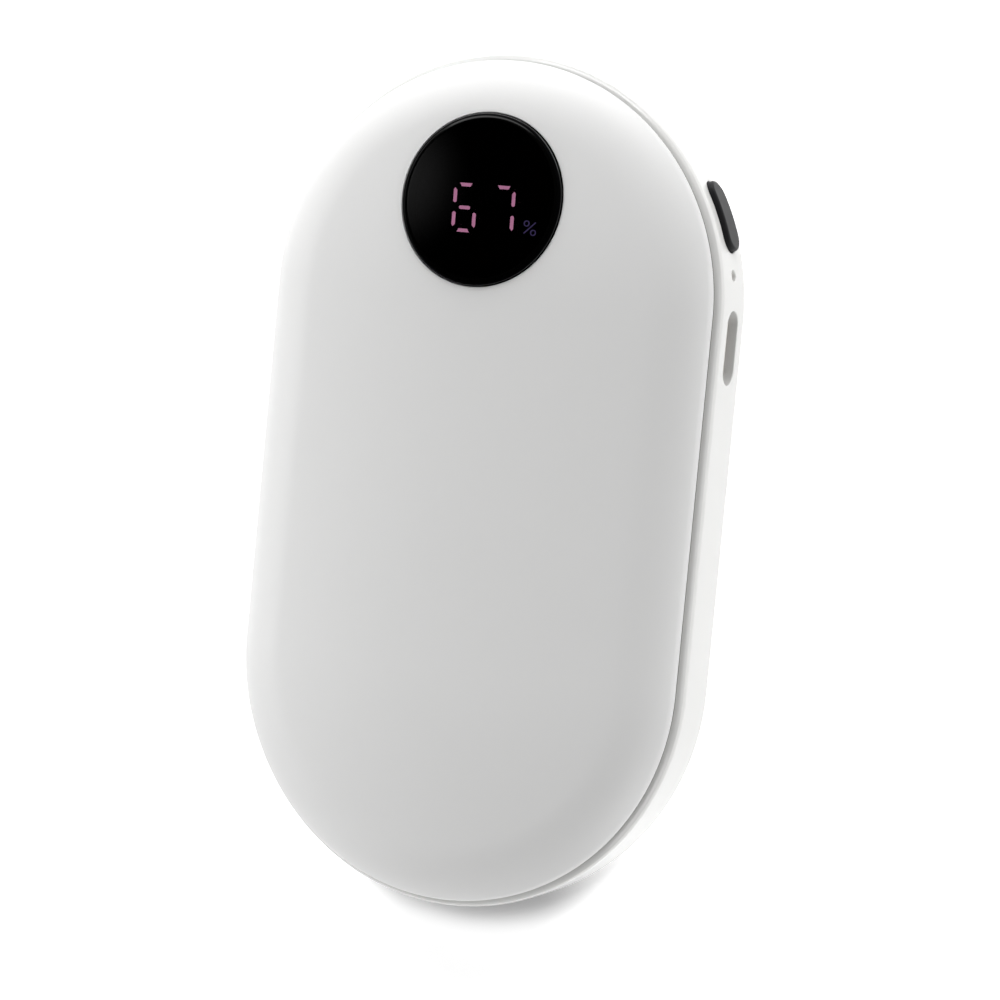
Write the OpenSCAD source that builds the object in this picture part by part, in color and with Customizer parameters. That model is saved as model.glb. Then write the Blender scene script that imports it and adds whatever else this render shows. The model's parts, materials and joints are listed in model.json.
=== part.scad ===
// Rechargeable hand warmer with a round window, a side button and a charging port.
// It lies on its rear cover: X is its width, Y its length with the window end at +Y,
// and Z points out of the front cover. The origin is the middle of the rear face.

/* [Case] */
// Overall length of the case, from round end to round end
case_l = 110; // [100:1:130]
// Overall width of the case across its straight sides
case_w = 62.8; // [58:0.4:68]
// Thickness of the band between the two covers
band_t = 9.6; // [8.8:0.2:12]
// Height of the front cover above the band, at its highest line
front_rise = 6.6; // [6:0.1:8]
// Height of the rear cover below the band
rear_rise = 5.8; // [5:0.1:7]
// Radius of the shallow crown on the front cover
crown_r = 150; // [120:5:200]
// Radius of the roll that brings each cover down to its edge
roll_r = 12.5; // [10.5:0.5:14]
// Radius of the small rounding at the rim of each cover
rim_r = 1.4; // [1:0.1:1.8]
// Straight height of the rim under its rounding
rim_h = 0.3; // [0.2:0.05:0.6]
// Step in from the outer face of the band to the rim of each cover
rim_step = 0.9; // [0.6:0.05:1.2]

/* [Walls] */
// Thickness of both covers
cover_wall = 1.6; // [1.4:0.1:2]
// Thickness of the band's wall
band_wall = 1.9; // [1.8:0.1:2.4]
// Rounding of the band's two outer edges
band_edge_r = 1.4; // [1:0.1:1.7]
// Open seam between the band and the rim of each cover
seam_gap = 0.2; // [0.1:0.05:0.4]
// Thickness of the skirt that seats each cover inside the band
skirt_t = 1; // [0.8:0.1:1.2]
// Depth that the skirt reaches into the band
skirt_h = 1.2; // [1:0.1:1.4]
// Height of the skirt's root inside the cover
skirt_root = 0.7; // [0.5:0.1:1]

/* [Snap hooks] */
// Length of each snap hook along the wall
hook_l = 8; // [6:0.5:10]
// Depth that each hook reaches below the skirt
hook_h = 1.8; // [1.5:0.1:2]
// Step from the faces of the skirt to the thinner hook
hook_step = 0.1; // [0.05:0.01:0.15]
// Reach of the barb into the band's groove
barb = 0.5; // [0.3:0.05:0.7]
// Place of the side hooks along the case
hook_y = -6; // [-8:0.5:-4]
// Angle of the end hooks from the middle line
hook_angle = 30; // [24:1:36]

/* [Window] */
// Diameter of the round window
window_d = 22; // [20:0.2:24]
// Thickness of the window
window_t = 1.6; // [1.2:0.1:2]
// Distance from the window's middle to the end of the case
window_end = 19; // [18:0.5:21]
// Height of the window's face over the crown at its middle
window_lift = 0.12; // [0:0.02:0.3]
// Width of the bevel around the window's face
window_bevel = 0.4; // [0.2:0.05:0.6]
// Width of the ledge that the window is taped to
ledge_w = 1.5; // [1.2:0.1:2]
// Thickness of that ledge
ledge_t = 1.2; // [1:0.1:1.6]
// Thickness of the adhesive ring under the window
tape_t = 0.15; // [0.1:0.05:0.3]
// Wall of the ring that stiffens the cover around the window
collar_w = 1.7; // [1.4:0.1:2]

/* [Display] */
// Height of the two digits
digit_h = 6.3; // [5.5:0.1:7]
// Width of a digit
digit_w = 3.3; // [3:0.05:3.8]
// Width of a segment
segment_w = 0.44; // [0.4:0.02:0.8]
// Gap between neighbouring segments
segment_gap = 0.2; // [0.1:0.05:0.3]
// Height of a lit segment over the display's face
segment_h = 0.12; // [0.08:0.02:0.2]
// Distance from one digit to the next
digit_pitch = 5.3; // [4.8:0.05:5.6]
// Middle of the two digits to the right of the window's middle
digits_right = -0.05; // [-0.4:0.05:0.4]
// Middle of the digits below the window's middle
digits_down = 1.25; // [0:0.05:2]
// Size of the percent sign
percent_size = 1.9; // [1.6:0.1:2.2]
// Direction of the percent sign below the level of the window's middle
percent_angle = 24; // [20:1:30]
// Space from the percent sign's corner to the edge of the display
percent_edge = 0.6; // [0.3:0.05:0.9]
// Line width of the percent sign
percent_line = 0.16; // [0.1:0.02:0.24]
// Clear space between the window and the display's face
display_air = 0.25; // [0.2:0.05:0.5]
// Thickness of the display block
display_t = 2.7; // [2.4:0.1:3.4]
// Thickness of the small board that carries the display
display_board_t = 1; // [0.8:0.1:1.2]
// Radius of the posts that the display board is screwed to
display_post_r = 1.4; // [1.2:0.1:1.6]

/* [Button] */
// Length of the power button along the band
button_l = 9.4; // [8.4:0.2:10.8]
// Width of the power button
button_w = 3.8; // [3.2:0.1:4]
// Distance from the band's middle height down to the button's
button_low = 0.4; // [0:0.1:0.6]
// Height of the button over the band
button_proud = 0.7; // [0.5:0.05:1.2]
// Rounding of the button's edge
button_edge_r = 0.35; // [0.2:0.05:0.5]
// Direction of the button from the end's middle, measured from the straight side
button_angle = 24.6; // [23:0.2:30]
// Travel of the button when it is pressed
button_travel = 0.4; // [0.2:0.05:0.5]
// Depth of the flat pad behind the button, from the inside of the band
pad_t = 1.2; // [1:0.1:1.4]
// Thickness of the flange that keeps the button in
flange_t = 0.8; // [0.6:0.1:1]
// Width of that flange around the button
flange_w = 0.9; // [0.7:0.1:1.1]
// Length of the peg behind the flange
peg_l = 0.6; // [0.4:0.1:0.8]
// Depth of the switch body under the button
switch_l = 3.4; // [3:0.1:4]
// Width of the switch body
switch_w = 6; // [5.4:0.1:6.4]
// Part of the plunger that stands out of the switch
plunger_out = 1; // [0.8:0.1:1.2]
// Part of the plunger that slides inside the switch
plunger_in = 0.9; // [0.7:0.1:1.2]
// Width of the plunger
plunger_w = 2.6; // [2:0.1:3]
// Height of the plunger
plunger_h = 1.4; // [1:0.1:1.8]

/* [Charge light] */
// Diameter of the light guide in the band
light_d = 1.3; // [1:0.1:1.5]
// Space between the light guide's collar and the button's flange
light_space = 0.51; // [0.3:0.05:1]
// Depth of the face of the light guide below the band's face
light_sunk = 0.3; // [0.1:0.05:0.5]
// Width of the collar that stops the light guide against the band
light_collar = 0.5; // [0.3:0.05:0.6]
// Size of the lamp behind the light guide, along the band
lamp_w = 3; // [2.4:0.1:3.6]
// Depth of the lamp
lamp_l = 1.5; // [1.2:0.1:1.8]
// Distance from the edge of the board to the face of the lamp
lamp_inset = 0.3; // [0.1:0.1:0.5]
// Height of the lamp over the board
lamp_h = 2.6; // [2.4:0.1:3]

/* [Charging port] */
// Distance from the middle of the port to the start of the round end
port_end = 3.4; // [2.6:0.2:8.6]
// Width of the port's metal shell
port_w = 8.94; // [8.8:0.02:9.1]
// Height of the port's metal shell
port_h = 3.26; // [3.1:0.02:3.4]
// Length of the port's metal shell
port_l = 7.35; // [6.8:0.05:8]
// Sheet thickness of the metal shell
port_sheet = 0.3; // [0.2:0.02:0.4]
// Depth of the shell's mouth below the band's face
port_sunk = 1.2; // [0.8:0.05:1.4]
// Width of the tongue inside the port
tongue_w = 6.69; // [6.4:0.05:6.9]
// Thickness of the tongue
tongue_t = 0.7; // [0.6:0.05:0.8]
// Distance from the shell's mouth to the tip of the tongue
tongue_sunk = 0.9; // [0.6:0.05:1.2]
// Thickness of the block that closes the back of the shell
tongue_block = 2; // [1.5:0.1:2.5]
// Number of contacts on each face of the tongue
contact_count = 12; // [6:1:12]
// Distance from one contact to the next
contact_pitch = 0.5; // [0.45:0.01:0.52]
// Width of a contact
contact_w = 0.25; // [0.2:0.01:0.3]
// Length of a contact
contact_l = 3; // [2.5:0.1:3.4]
// Thickness of a contact
contact_t = 0.05; // [0.03:0.01:0.08]

/* [Battery] */
// Space between the battery's cradle and the bosses beside it
battery_side = 1.2; // [0.8:0.1:3]
// Thickness of the battery
battery_t = 9.6; // [8:0.1:10.4]
// Thickness of the tape under the battery
battery_tape_t = 0.2; // [0.1:0.05:0.3]
// Rounding of the battery's corners
battery_r = 2; // [1:0.1:3]
// Diameter of a battery lead
lead_d = 1.1; // [0.9:0.05:1.3]
// Space between the leads and the cradle that they cross
lead_space = 0.45; // [0.2:0.05:0.8]
// Distance between the two battery leads
lead_pitch = 3; // [2.2:0.1:4]

/* [Heating] */
// Thickness of the aluminium plates that spread the heat
plate_t = 0.5; // [0.3:0.05:0.8]
// Thickness of the heating films
film_t = 0.3; // [0.2:0.05:0.4]
// Layer of bonding paste between a cover and its plate
paste_t = 0.1; // [0.05:0.01:0.15]
// Space from the roll of a cover to the edge of its plate
plate_margin = 0.4; // [0.3:0.1:1.5]
// Space from the edge of a plate to the edge of its film
film_margin = 0.8; // [0.5:0.1:2]
// Width of the tail of a heating film
tail_w = 4; // [3:0.1:4.6]
// Thickness of the tail of a heating film
tail_t = 0.2; // [0.1:0.05:0.3]
// Diameter of the temperature sensor's bead
bead_d = 1.8; // [1.4:0.1:2.4]
// Diameter of the sensor's wires
bead_wire_d = 0.5; // [0.3:0.05:0.6]

/* [Tray and boards] */
// Thickness of the tray's floor
tray_t = 1.2; // [1:0.1:1.5]
// Space between the tray's edge and the skirts of the covers
tray_gap = 0.5; // [0.4:0.1:0.9]
// Thickness of the ribs around the battery
cradle_t = 1; // [0.8:0.1:1.4]
// Space from the heads of the tray screws to the tray's edge
tray_edge = 0.5; // [0.3:0.1:1]
// Thickness of the main board
board_t = 1.2; // [1:0.1:1.6]
// Height of the posts under the main board
standoff_h = 0.97; // [0.8:0.01:1.4]
// Radius of the posts under the main board
standoff_r = 2.2; // [1.8:0.1:2.5]
// Space from the lower edge of the main board to the port
port_edge = 0.23; // [0.1:0.01:0.5]
// Channel for cables between the battery and the main board
cable_gap = 2.4; // [2:0.1:3]
// Space between the main board and the inside of the band
board_gap = 2.9; // [2.6:0.1:3.4]
// Width of a flat cable between the boards
ribbon_w = 6; // [5:0.5:7]
// Thickness of that flat cable
ribbon_t = 0.2; // [0.1:0.05:0.3]

/* [Fasteners] */
// Radius of the bosses inside the band
boss_r = 2; // [1.7:0.1:2.2]
// Length of the bosses inside the band
boss_h = 5; // [4.4:0.1:5.4]
// Diameter of the tray screws and the board screws
screw_d = 1.6; // [1.4:0.1:1.8]
// Diameter of the heads of those screws
head_d = 3.2; // [2.8:0.1:3.4]
// Height of the heads of those screws
head_h = 1.1; // [0.8:0.1:1.3]
// Length of a tray screw under its head
tray_screw_l = 3.6; // [3:0.1:4.2]
// Distance from the lower bosses to the end of the straight sides
boss_end = 3; // [2.5:0.5:6]
// Space from the tip of a board screw to the underside of the tray
screw_short = 0.37; // [0.2:0.05:0.6]
// Diameter of the display screws
small_screw_d = 1.2; // [1:0.1:1.4]
// Diameter of the heads of the display screws
small_head_d = 2; // [1.8:0.1:2.4]
// Height of the heads of the display screws
small_head_h = 0.7; // [0.5:0.1:0.9]

/* [Fits] */
// Space between a skirt and the band
skirt_fit = 0.1; // [0.06:0.02:0.2]
// Space around a barb in its groove
barb_fit = 0.15; // [0.1:0.05:0.25]
// Space around the window in its recess
window_fit = 0.12; // [0.06:0.02:0.2]
// Space around the button in its slot
button_fit = 0.12; // [0.08:0.02:0.2]
// Space around the port's shell in its slot
port_fit = 0.2; // [0.12:0.02:0.3]
// Space around the light guide in its hole
light_fit = 0.06; // [0.04:0.01:0.1]
// Space around the plunger in its switch
plunger_fit = 0.08; // [0.05:0.01:0.15]
// Space around the battery in its cradle
battery_fit = 0.4; // [0.2:0.1:0.6]
// Space around a screw in the part that it clamps
screw_fit = 0.2; // [0.1:0.05:0.3]
// Space around a screw in the part that it bites into
thread_fit = 0.03; // [0.02:0.01:0.06]

/* [Hidden] */
$fn = 96;

// Overrun of every cut past the face that it opens
over = 1;
// Overlap that joins a boss or a rib to its wall
root = 0.3;
// Facets of the two very large circles of the crown
crown_fn = 720;

// Main places in the case
half_w = case_w / 2;
end_y = case_l / 2 - half_w;
band_lo = rear_rise;
band_hi = rear_rise + band_t;
mid_z = rear_rise + band_t / 2;
top_z = band_hi + front_rise;
rim_x = half_w - rim_step;
inner_x = half_w - band_wall;
skirt_x = inner_x - skirt_fit;
hook_lo = skirt_h + hook_h;

// The port's shell stands on the board with its middle at the middle of the band
board_top = mid_z - port_h / 2;
tray_top = board_top - board_t - standoff_h;
tray_bottom = tray_top - tray_t;
tray_x = skirt_x - skirt_t - tray_gap;
screw_sink = tray_t / 2;
boss_x = tray_x - tray_edge - screw_fit - head_d / 2;

// The charging port, and the board's lower edge beside it
port_y = end_y - port_end;
port_x = half_w - port_sunk;
port_back = port_x - port_l;
board_y = port_y - port_w / 2 - port_edge;
board_x = inner_x - board_gap;
board_screw_l = board_t + standoff_h + tray_t - screw_short;

// The battery's cradle fits between the bosses, and reaches down to the tray's round edge
cradle_x = boss_x - boss_r - battery_side;
cradle_rim = tray_x - root;
cradle_y = -end_y - sqrt(cradle_rim * cradle_rim - cradle_x * cradle_x);
cradle_end = board_y - cable_gap;
battery_w = 2 * (cradle_x - cradle_t - battery_fit);
battery_y = cradle_y + cradle_t + battery_fit;
battery_end = cradle_end - cradle_t - battery_fit;
battery_l = battery_end - battery_y;
battery_bottom = tray_top + battery_tape_t;
battery_top = battery_bottom + battery_t;
lead_z = battery_bottom + battery_t / 2;
cradle_top = lead_z - lead_d / 2 - lead_space;
boss_ys = [-end_y + boss_end, cradle_end - 2 * boss_r];

// Centres of the arcs that make a cover's outline, as distance from the spine and height over the band
rim_c = [rim_x - rim_r, rim_h];
crown_c = [0, front_rise - crown_r];
rim_far = norm(rim_c - crown_c);
roll_reach = roll_r - rim_r;
crown_reach = crown_r - roll_r;
crown_bend = acos((crown_reach * crown_reach + rim_far * rim_far - roll_reach * roll_reach)
  / (2 * crown_reach * rim_far));
roll_dir = atan2(rim_c[1] - crown_c[1], rim_c[0]) + crown_bend;
front_roll_c = crown_c + crown_reach * [cos(roll_dir), sin(roll_dir)];
rear_roll_y = rear_rise - roll_r;
rear_roll_c = [rim_c[0] - sqrt(roll_reach * roll_reach - pow(rim_h - rear_roll_y, 2)), rear_roll_y];

// Half widths of the heat plates, which keep to the crown and to the flat
front_plate_x = (crown_r - cover_wall) * cos(roll_dir) - plate_margin;
rear_plate_x = rear_roll_c[0] - plate_margin;

// Radii of the layers under the crown, all about the crown's axis
front_plate_r = crown_r - cover_wall - paste_t;
front_film_r = front_plate_r - plate_t;
front_foam_r = front_film_r - film_t;
crown_z = top_z - crown_r;

// The window lies square to the crown at its own place
window_y = case_l / 2 - window_end;
window_tilt = asin((window_y - end_y) / crown_r);
window_z = crown_z + crown_r * cos(window_tilt);
window_r = window_d / 2;
recess_r = window_r + window_fit;
view_r = recess_r - ledge_w;
collar_r = recess_r + collar_w;
window_under = window_lift - window_t;
ledge_top = window_under - tape_t;
ledge_bottom = ledge_top - ledge_t;
display_top = window_under - display_air;
display_bottom = display_top - display_t;
display_r = view_r - 2 * window_fit;
post_ring = display_r + window_fit + display_post_r;
display_board_r = post_ring + display_post_r;
display_board_bottom = display_bottom - display_board_t;
// The percent sign sits in the lower right of the display, its corner just inside the edge
percent_out = display_r - percent_edge - percent_size / sqrt(2);
percent_at = percent_out * [cos(percent_angle), -sin(percent_angle)];
// Screws reach halfway through the ledge
post_hole_top = ledge_top - ledge_t / 2;
display_screw_l = post_hole_top - root - display_board_bottom;
// The front plate stops short of the collar, and of the round end of the crown
plate_end = min(window_y - collar_r, end_y) - plate_margin;

// Distances from the middle of the window end, out to the band
pad_x = inner_x - pad_t;
flange_x = pad_x - flange_t;
peg_x = flange_x - peg_l;
switch_x = peg_x - plunger_out;
slot_l = button_l + 2 * button_fit;
slot_w = button_w + 2 * button_fit;
flange_l = button_l + 2 * flange_w;
flange_h = button_w + 2 * flange_w;
// The pad stays clear of the rear cover's skirt
pad_h = flange_h + 2 * root;
button_z = max(mid_z - button_low, band_lo + skirt_h + button_fit + pad_h / 2);
switch_h = 2 * (mid_z - board_top);
light_reach = flange_l / 2 + light_space + light_collar + light_d / 2;
light_angle = button_angle - light_reach / inner_x * 180 / PI;
light_x = half_w - light_sunk;
lamp_x = board_x - lamp_inset;

// Free space between the small parts on the main board
part_gap = 1.5;
// Sizes of those parts
heater_connector_size = [11, 3, 1.4];
ribbon_connector_size = [8, 2.5, 1];
controller_size = [5, 5, 0.9];
charger_size = [4, 4, 0.9];
coil_size = [6, 6, 3];
capacitor_size = [2, 1.25, 1.1];
capacitor_pitch = 3;
capacitor_rows = 3;
// The battery's connector takes both leads, with a little of its own body around them
lead_wall = 0.6;
battery_connector_size = [lead_pitch + lead_d + 2 * part_gap, 4,
  lead_z + lead_d / 2 + lead_wall - board_top];
// Places of the parts: connectors along the lower edge, the chips and the coil above them
connector_y = board_y + standoff_r;
battery_connector_x = (heater_connector_size[0] + battery_connector_size[0]) / 2 + part_gap;
ribbon_x = -2;
ribbon_y = max(window_point(-display_r, display_board_bottom)[0],
  connector_y + heater_connector_size[1] + part_gap + ribbon_connector_size[1] / 2);
ribbon_top = ribbon_y + ribbon_connector_size[1] / 2;
controller_at = [-controller_size[0] / 2 - part_gap, ribbon_top + part_gap + controller_size[1] / 2];
charger_at = [2 * charger_size[0], ribbon_top + charger_size[1] / 2];
coil_at = charger_at + [part_gap, part_gap + (charger_size[1] + coil_size[1]) / 2];
capacitor_at = [ribbon_x - (ribbon_connector_size[0] + capacitor_size[0]) / 2 - part_gap, ribbon_y];
// Tails of the heating films, side by side in their connector
tail_z = board_top + heater_connector_size[2] / 2;
tail_x = (heater_connector_size[0] - tail_w) / 2 - root;
tail_y = board_y - cable_gap / 2;
// The temperature sensor stands between the connectors of the films and of the display
bead_fit = 0.03;
bead_x = -11;
bead_y = connector_y + standoff_r;
// Screws of the main board: beside the lower edge, beside the port and at the round end
board_screw_at = [[-board_x + 2 * standoff_r + part_gap, connector_y + standoff_r],
  [port_back - standoff_r - part_gap, port_y + port_w / 2],
  [0, end_y + board_x - 2 * standoff_r]];
post_angles = [90, 210, 330];

// A square from one corner to the other
module span(lo, hi) {
  translate(lo) square(hi - lo);
}

// What a disc fills between two distances from the spine, above a height
module disc_span(x0, x1, low, c, r, fn) {
  intersection() {
    span([x0, low], [x1, c[1] + r + over]);
    translate(c) circle(r = r, $fn = fn);
  }
}

// Sweeps a half profile around a long round-ended outline: both ends turn, the middle is straight
module oval_sweep(reach) {
  translate([0, reach, 0]) rotate_extrude(angle = 180) children();
  translate([0, -reach, 0]) rotate([0, 0, 180]) rotate_extrude(angle = 180) children();
  translate([0, reach, 0]) rotate([90, 0, 0]) linear_extrude(2 * reach) {
    children();
    mirror([1, 0]) children();
  }
}

// A flat plate with round ends, of half width x
module oval_plate(reach, x, z0, z1) {
  oval_sweep(reach) span([0, z0], [x, z1]);
}

// An outline with two round ends, l long and w wide
module pill(l, w) {
  square([l - w, w], center = true);
  for (side = [-1, 1]) translate([side * (l - w) / 2, 0]) circle(d = w);
}

// A square with rounded corners, from the middle
module round_square(w, l, r) {
  square([w - 2 * r, l], center = true);
  square([w, l - 2 * r], center = true);
  for (sx = [-1, 1], sy = [-1, 1]) translate([sx * (w / 2 - r), sy * (l / 2 - r)]) circle(r = r);
}

// A place on the round window end: x points out through the band, z is up
module on_arc(angle, z) {
  translate([0, end_y, z]) rotate([0, 0, angle]) children();
}

// A solid of a pill's outline, standing along x from x0 to x1
module pill_bar(l, w, x0, x1) {
  translate([x0, 0, 0]) rotate([90, 0, 90]) linear_extrude(x1 - x0) pill(l, w);
}

// The frame of the window: its middle on the crown, z square to the glass
module at_window() {
  translate([0, window_y, window_z]) rotate([-window_tilt, 0, 0]) children();
}

// A point of the window's frame, v along the case and w out of the glass, as y and z of the case
function window_point(v, w) = [
  window_y + v * cos(window_tilt) + w * sin(window_tilt),
  window_z - v * sin(window_tilt) + w * cos(window_tilt)];

// Unit vector from a to b, and that vector turned a quarter turn
function unit(a, b) = (b - a) / norm(b - a);
function turned(u) = [-u[1], u[0]];

// Sideways step at point i of a path, so that a strip of thickness t keeps its thickness
function mitre(p, i, t) =
  let (n = len(p),
       u = unit(p[max(i - 1, 0)], p[max(i, 1)]),
       v = unit(p[min(i, n - 2)], p[min(i + 1, n - 1)]),
       m = turned(u) + turned(v))
  m * t / (m * m);

// A flat strip of width w around x, bent along the points of a path in the y and z plane
module strip_along(p, t, x, w) {
  steps = [for (i = [0 : len(p) - 1]) mitre(p, i, t)];
  left = [for (i = [0 : len(p) - 1]) p[i] + steps[i]];
  right = [for (i = [len(p) - 1 : -1 : 0]) p[i] - steps[i]];
  translate([x - w / 2, 0, 0]) rotate([90, 0, 90]) linear_extrude(w) polygon(concat(left, right));
}

// A box that stands on the main board with its middle at a place
module on_board(at, size) {
  translate([at[0] - size[0] / 2, at[1] - size[1] / 2, board_top]) cube(size);
}

// The skirt that reaches into the band, and its root inside the rim
module skirt_outline() {
  span([skirt_x - skirt_t, -skirt_h], [skirt_x, skirt_root]);
  span([skirt_x - skirt_t, 0], [rim_x - cover_wall + root, skirt_root]);
}

// Half outline of the front cover: crown, roll and rim, with the wall's inside taken out
module front_outline() {
  tangent_x = crown_r * cos(roll_dir);
  inner_tangent_x = (crown_r - cover_wall) * cos(roll_dir);
  rim_tangent_x = rim_c[0] + rim_r * (rim_c[0] - front_roll_c[0]) / roll_reach;
  difference() {
    union() {
      span([0, 0], [rim_x, rim_h]);
      disc_span(0, tangent_x, rim_h, crown_c, crown_r, crown_fn);
      disc_span(tangent_x, rim_tangent_x, rim_h, front_roll_c, roll_r, $fn);
      disc_span(rim_tangent_x, rim_x, rim_h, rim_c, rim_r, $fn);
    }
    disc_span(-over, inner_tangent_x, -over, crown_c, crown_r - cover_wall, crown_fn);
    disc_span(inner_tangent_x, rim_x - cover_wall, -over, front_roll_c, roll_r - cover_wall, $fn);
    span([half_w - band_edge_r, -over], [half_w, seam_gap]);
  }
  skirt_outline();
}

// Half outline of the rear cover: a flat face, roll and rim, with the wall's inside taken out
module rear_outline() {
  rim_tangent_x = rim_c[0] + rim_r * (rim_c[0] - rear_roll_c[0]) / roll_reach;
  difference() {
    union() {
      span([0, 0], [rim_x, rim_h]);
      span([0, rim_h], [rear_roll_c[0], rear_rise]);
      disc_span(rear_roll_c[0], rim_tangent_x, rim_h, rear_roll_c, roll_r, $fn);
      disc_span(rim_tangent_x, rim_x, rim_h, rim_c, rim_r, $fn);
    }
    span([-over, -over], [rear_roll_c[0], rear_rise - cover_wall]);
    disc_span(rear_roll_c[0], rim_x - cover_wall, -over, rear_roll_c, roll_r - cover_wall, $fn);
    span([half_w - band_edge_r, -over], [half_w, seam_gap]);
  }
  skirt_outline();
}

// Outline of one snap hook, thinner than the skirt, with a barb that points out
module hook_outline() {
  back = skirt_x - skirt_t + hook_step;
  front = skirt_x - hook_step;
  tip = skirt_x + barb;
  slope = tip - front;
  high = -skirt_h - hook_step;
  polygon([[back, -hook_lo], [front, -hook_lo], [tip, -hook_lo + slope], [tip, high - slope],
    [front, high], [front, -skirt_h / 2], [back, -skirt_h / 2]]);
}

// Outline of the groove that the barb snaps into
module groove_outline() {
  span([inner_x - over, -hook_lo - barb_fit], [skirt_x + barb + barb_fit, -skirt_h + barb_fit]);
}

// Sets a hook's or a groove's outline on both sides and around both ends, spread by some space
module around_hooks(spread) {
  turn = (hook_l / 2 + spread) / inner_x * 180 / PI;
  for (side = [0, 180]) rotate([0, 0, side]) {
    translate([0, (side == 0 ? hook_y : -hook_y) + hook_l / 2 + spread, 0])
      rotate([90, 0, 0]) linear_extrude(hook_l + 2 * spread) children();
    for (lean = [-hook_angle, hook_angle])
      translate([0, end_y, 0]) rotate([0, 0, 90 + lean - turn]) rotate_extrude(angle = 2 * turn) children();
  }
}

// Turns what is drawn over the band's front edge, or mirrors it under the band's rear edge
module at_front() {
  translate([0, 0, band_hi]) children();
}

module at_rear() {
  translate([0, 0, band_lo]) mirror([0, 0, 1]) children();
}

// Sets what is drawn on the ring of posts behind the window
module at_posts(z) {
  for (a = post_angles) rotate([0, 0, a]) translate([post_ring, 0, z]) children();
}

// Front cover with the recess, ledge and collar of the window, and the display's posts
module front_cover() {
  color("whitesmoke")
  difference() {
    union() {
      at_front() oval_sweep(end_y) front_outline();
      at_front() around_hooks(0) hook_outline();
      at_window() {
        translate([0, 0, ledge_bottom]) cylinder(r = collar_r, h = -ledge_bottom - cover_wall);
        at_posts(display_bottom) cylinder(r = display_post_r, h = ledge_bottom - display_bottom + root);
      }
    }
    at_window() {
      translate([0, 0, ledge_top]) cylinder(r = recess_r, h = -ledge_top + over);
      translate([0, 0, ledge_bottom - over]) cylinder(r = view_r, h = window_t + ledge_t + over);
      at_posts(display_bottom - over)
        cylinder(d = small_screw_d + 2 * thread_fit, h = post_hole_top - display_bottom + over);
    }
  }
}

// Rear cover with its flat resting face
module rear_cover() {
  color("whitesmoke") {
    at_rear() oval_sweep(end_y) rear_outline();
    at_rear() around_hooks(0) hook_outline();
  }
}

// Half outline of the band, with its two outer edges rounded
module band_outline() {
  edge = half_w - band_edge_r;
  span([inner_x, 0], [edge, band_t]);
  span([edge, band_edge_r], [half_w, band_t - band_edge_r]);
  disc_span(edge, half_w, band_t - band_edge_r, [edge, band_t - band_edge_r], band_edge_r, $fn);
  translate([0, band_t]) mirror([0, 1])
    disc_span(edge, half_w, band_t - band_edge_r, [edge, band_t - band_edge_r], band_edge_r, $fn);
}

// Sets what is drawn on the four bosses that the tray hangs from
module at_bosses(z) {
  for (side = [-1, 1], y = boss_ys) translate([side * boss_x, y, z]) children();
}

// Sets what is drawn on the main board's three screws
module at_board_screws(z) {
  for (p = board_screw_at) translate([p[0], p[1], z]) children();
}

// Band with the button's pad and slot, the port, the light hole, the hook grooves and the bosses
module mid_band() {
  web_lo = band_lo + skirt_h + root;
  web_hi = tray_top + boss_h;
  color("white")
  difference() {
    union() {
      translate([0, 0, band_lo]) oval_sweep(end_y) band_outline();
      on_arc(button_angle, button_z)
        translate([pad_x, -flange_l / 2, -pad_h / 2]) cube([pad_t, flange_l, pad_h]);
      for (side = [-1, 1], y = boss_ys) {
        translate([side * boss_x, y, tray_top]) cylinder(r = boss_r, h = boss_h);
        translate([side * (boss_x + inner_x + root) / 2, y, (web_lo + web_hi) / 2])
          cube([inner_x + root - boss_x, boss_r, web_hi - web_lo], center = true);
      }
    }
    on_arc(button_angle, button_z) pill_bar(slot_l, slot_w, pad_x - over, half_w + over);
    on_arc(light_angle, mid_z) translate([inner_x - over, 0, 0]) rotate([0, 90, 0])
      cylinder(d = light_d + 2 * light_fit, h = band_wall + 2 * over);
    translate([0, port_y, mid_z])
      pill_bar(port_w + 2 * port_fit, port_h + 2 * port_fit, inner_x - over, half_w + over);
    at_front() around_hooks(barb_fit) groove_outline();
    at_rear() around_hooks(barb_fit) groove_outline();
    at_bosses(tray_top - over) cylinder(d = screw_d + 2 * thread_fit, h = tray_screw_l + over);
  }
}

// Tray that carries the battery and the main board, screwed up against the band's bosses
module inner_tray() {
  color("dimgray")
  difference() {
    union() {
      oval_plate(end_y, tray_x, tray_bottom, tray_top);
      translate([-cradle_x, cradle_y, tray_top - root])
        cube([2 * cradle_x, cradle_end - cradle_y, cradle_top - tray_top + root]);
      at_board_screws(tray_top - root) cylinder(r = standoff_r, h = standoff_h + root);
    }
    translate([-battery_w / 2 - battery_fit, battery_y - battery_fit, tray_top])
      cube([battery_w + 2 * battery_fit, battery_l + 2 * battery_fit, battery_t]);
    at_bosses(tray_bottom - over) cylinder(d = screw_d + 2 * screw_fit, h = tray_t + 2 * over);
    at_bosses(tray_bottom - over) cylinder(d = head_d + 2 * screw_fit, h = screw_sink + over);
    at_board_screws(tray_bottom - over)
      cylinder(d = screw_d + 2 * thread_fit, h = tray_t + standoff_h + 2 * over);
    translate([tail_x - tail_w / 2 - screw_fit, tail_y - cable_gap / 4, tray_bottom - over])
      cube([tail_w + 2 * screw_fit, cable_gap / 2, tray_t + 2 * over]);
  }
}

// Round smoked window with a bevelled edge
module display_window() {
  color([0.03, 0.03, 0.04])
  at_window() {
    translate([0, 0, window_under]) cylinder(r = window_r, h = window_t - window_bevel);
    translate([0, 0, window_lift - window_bevel])
      cylinder(r1 = window_r, r2 = window_r - window_bevel, h = window_bevel);
  }
}

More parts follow.
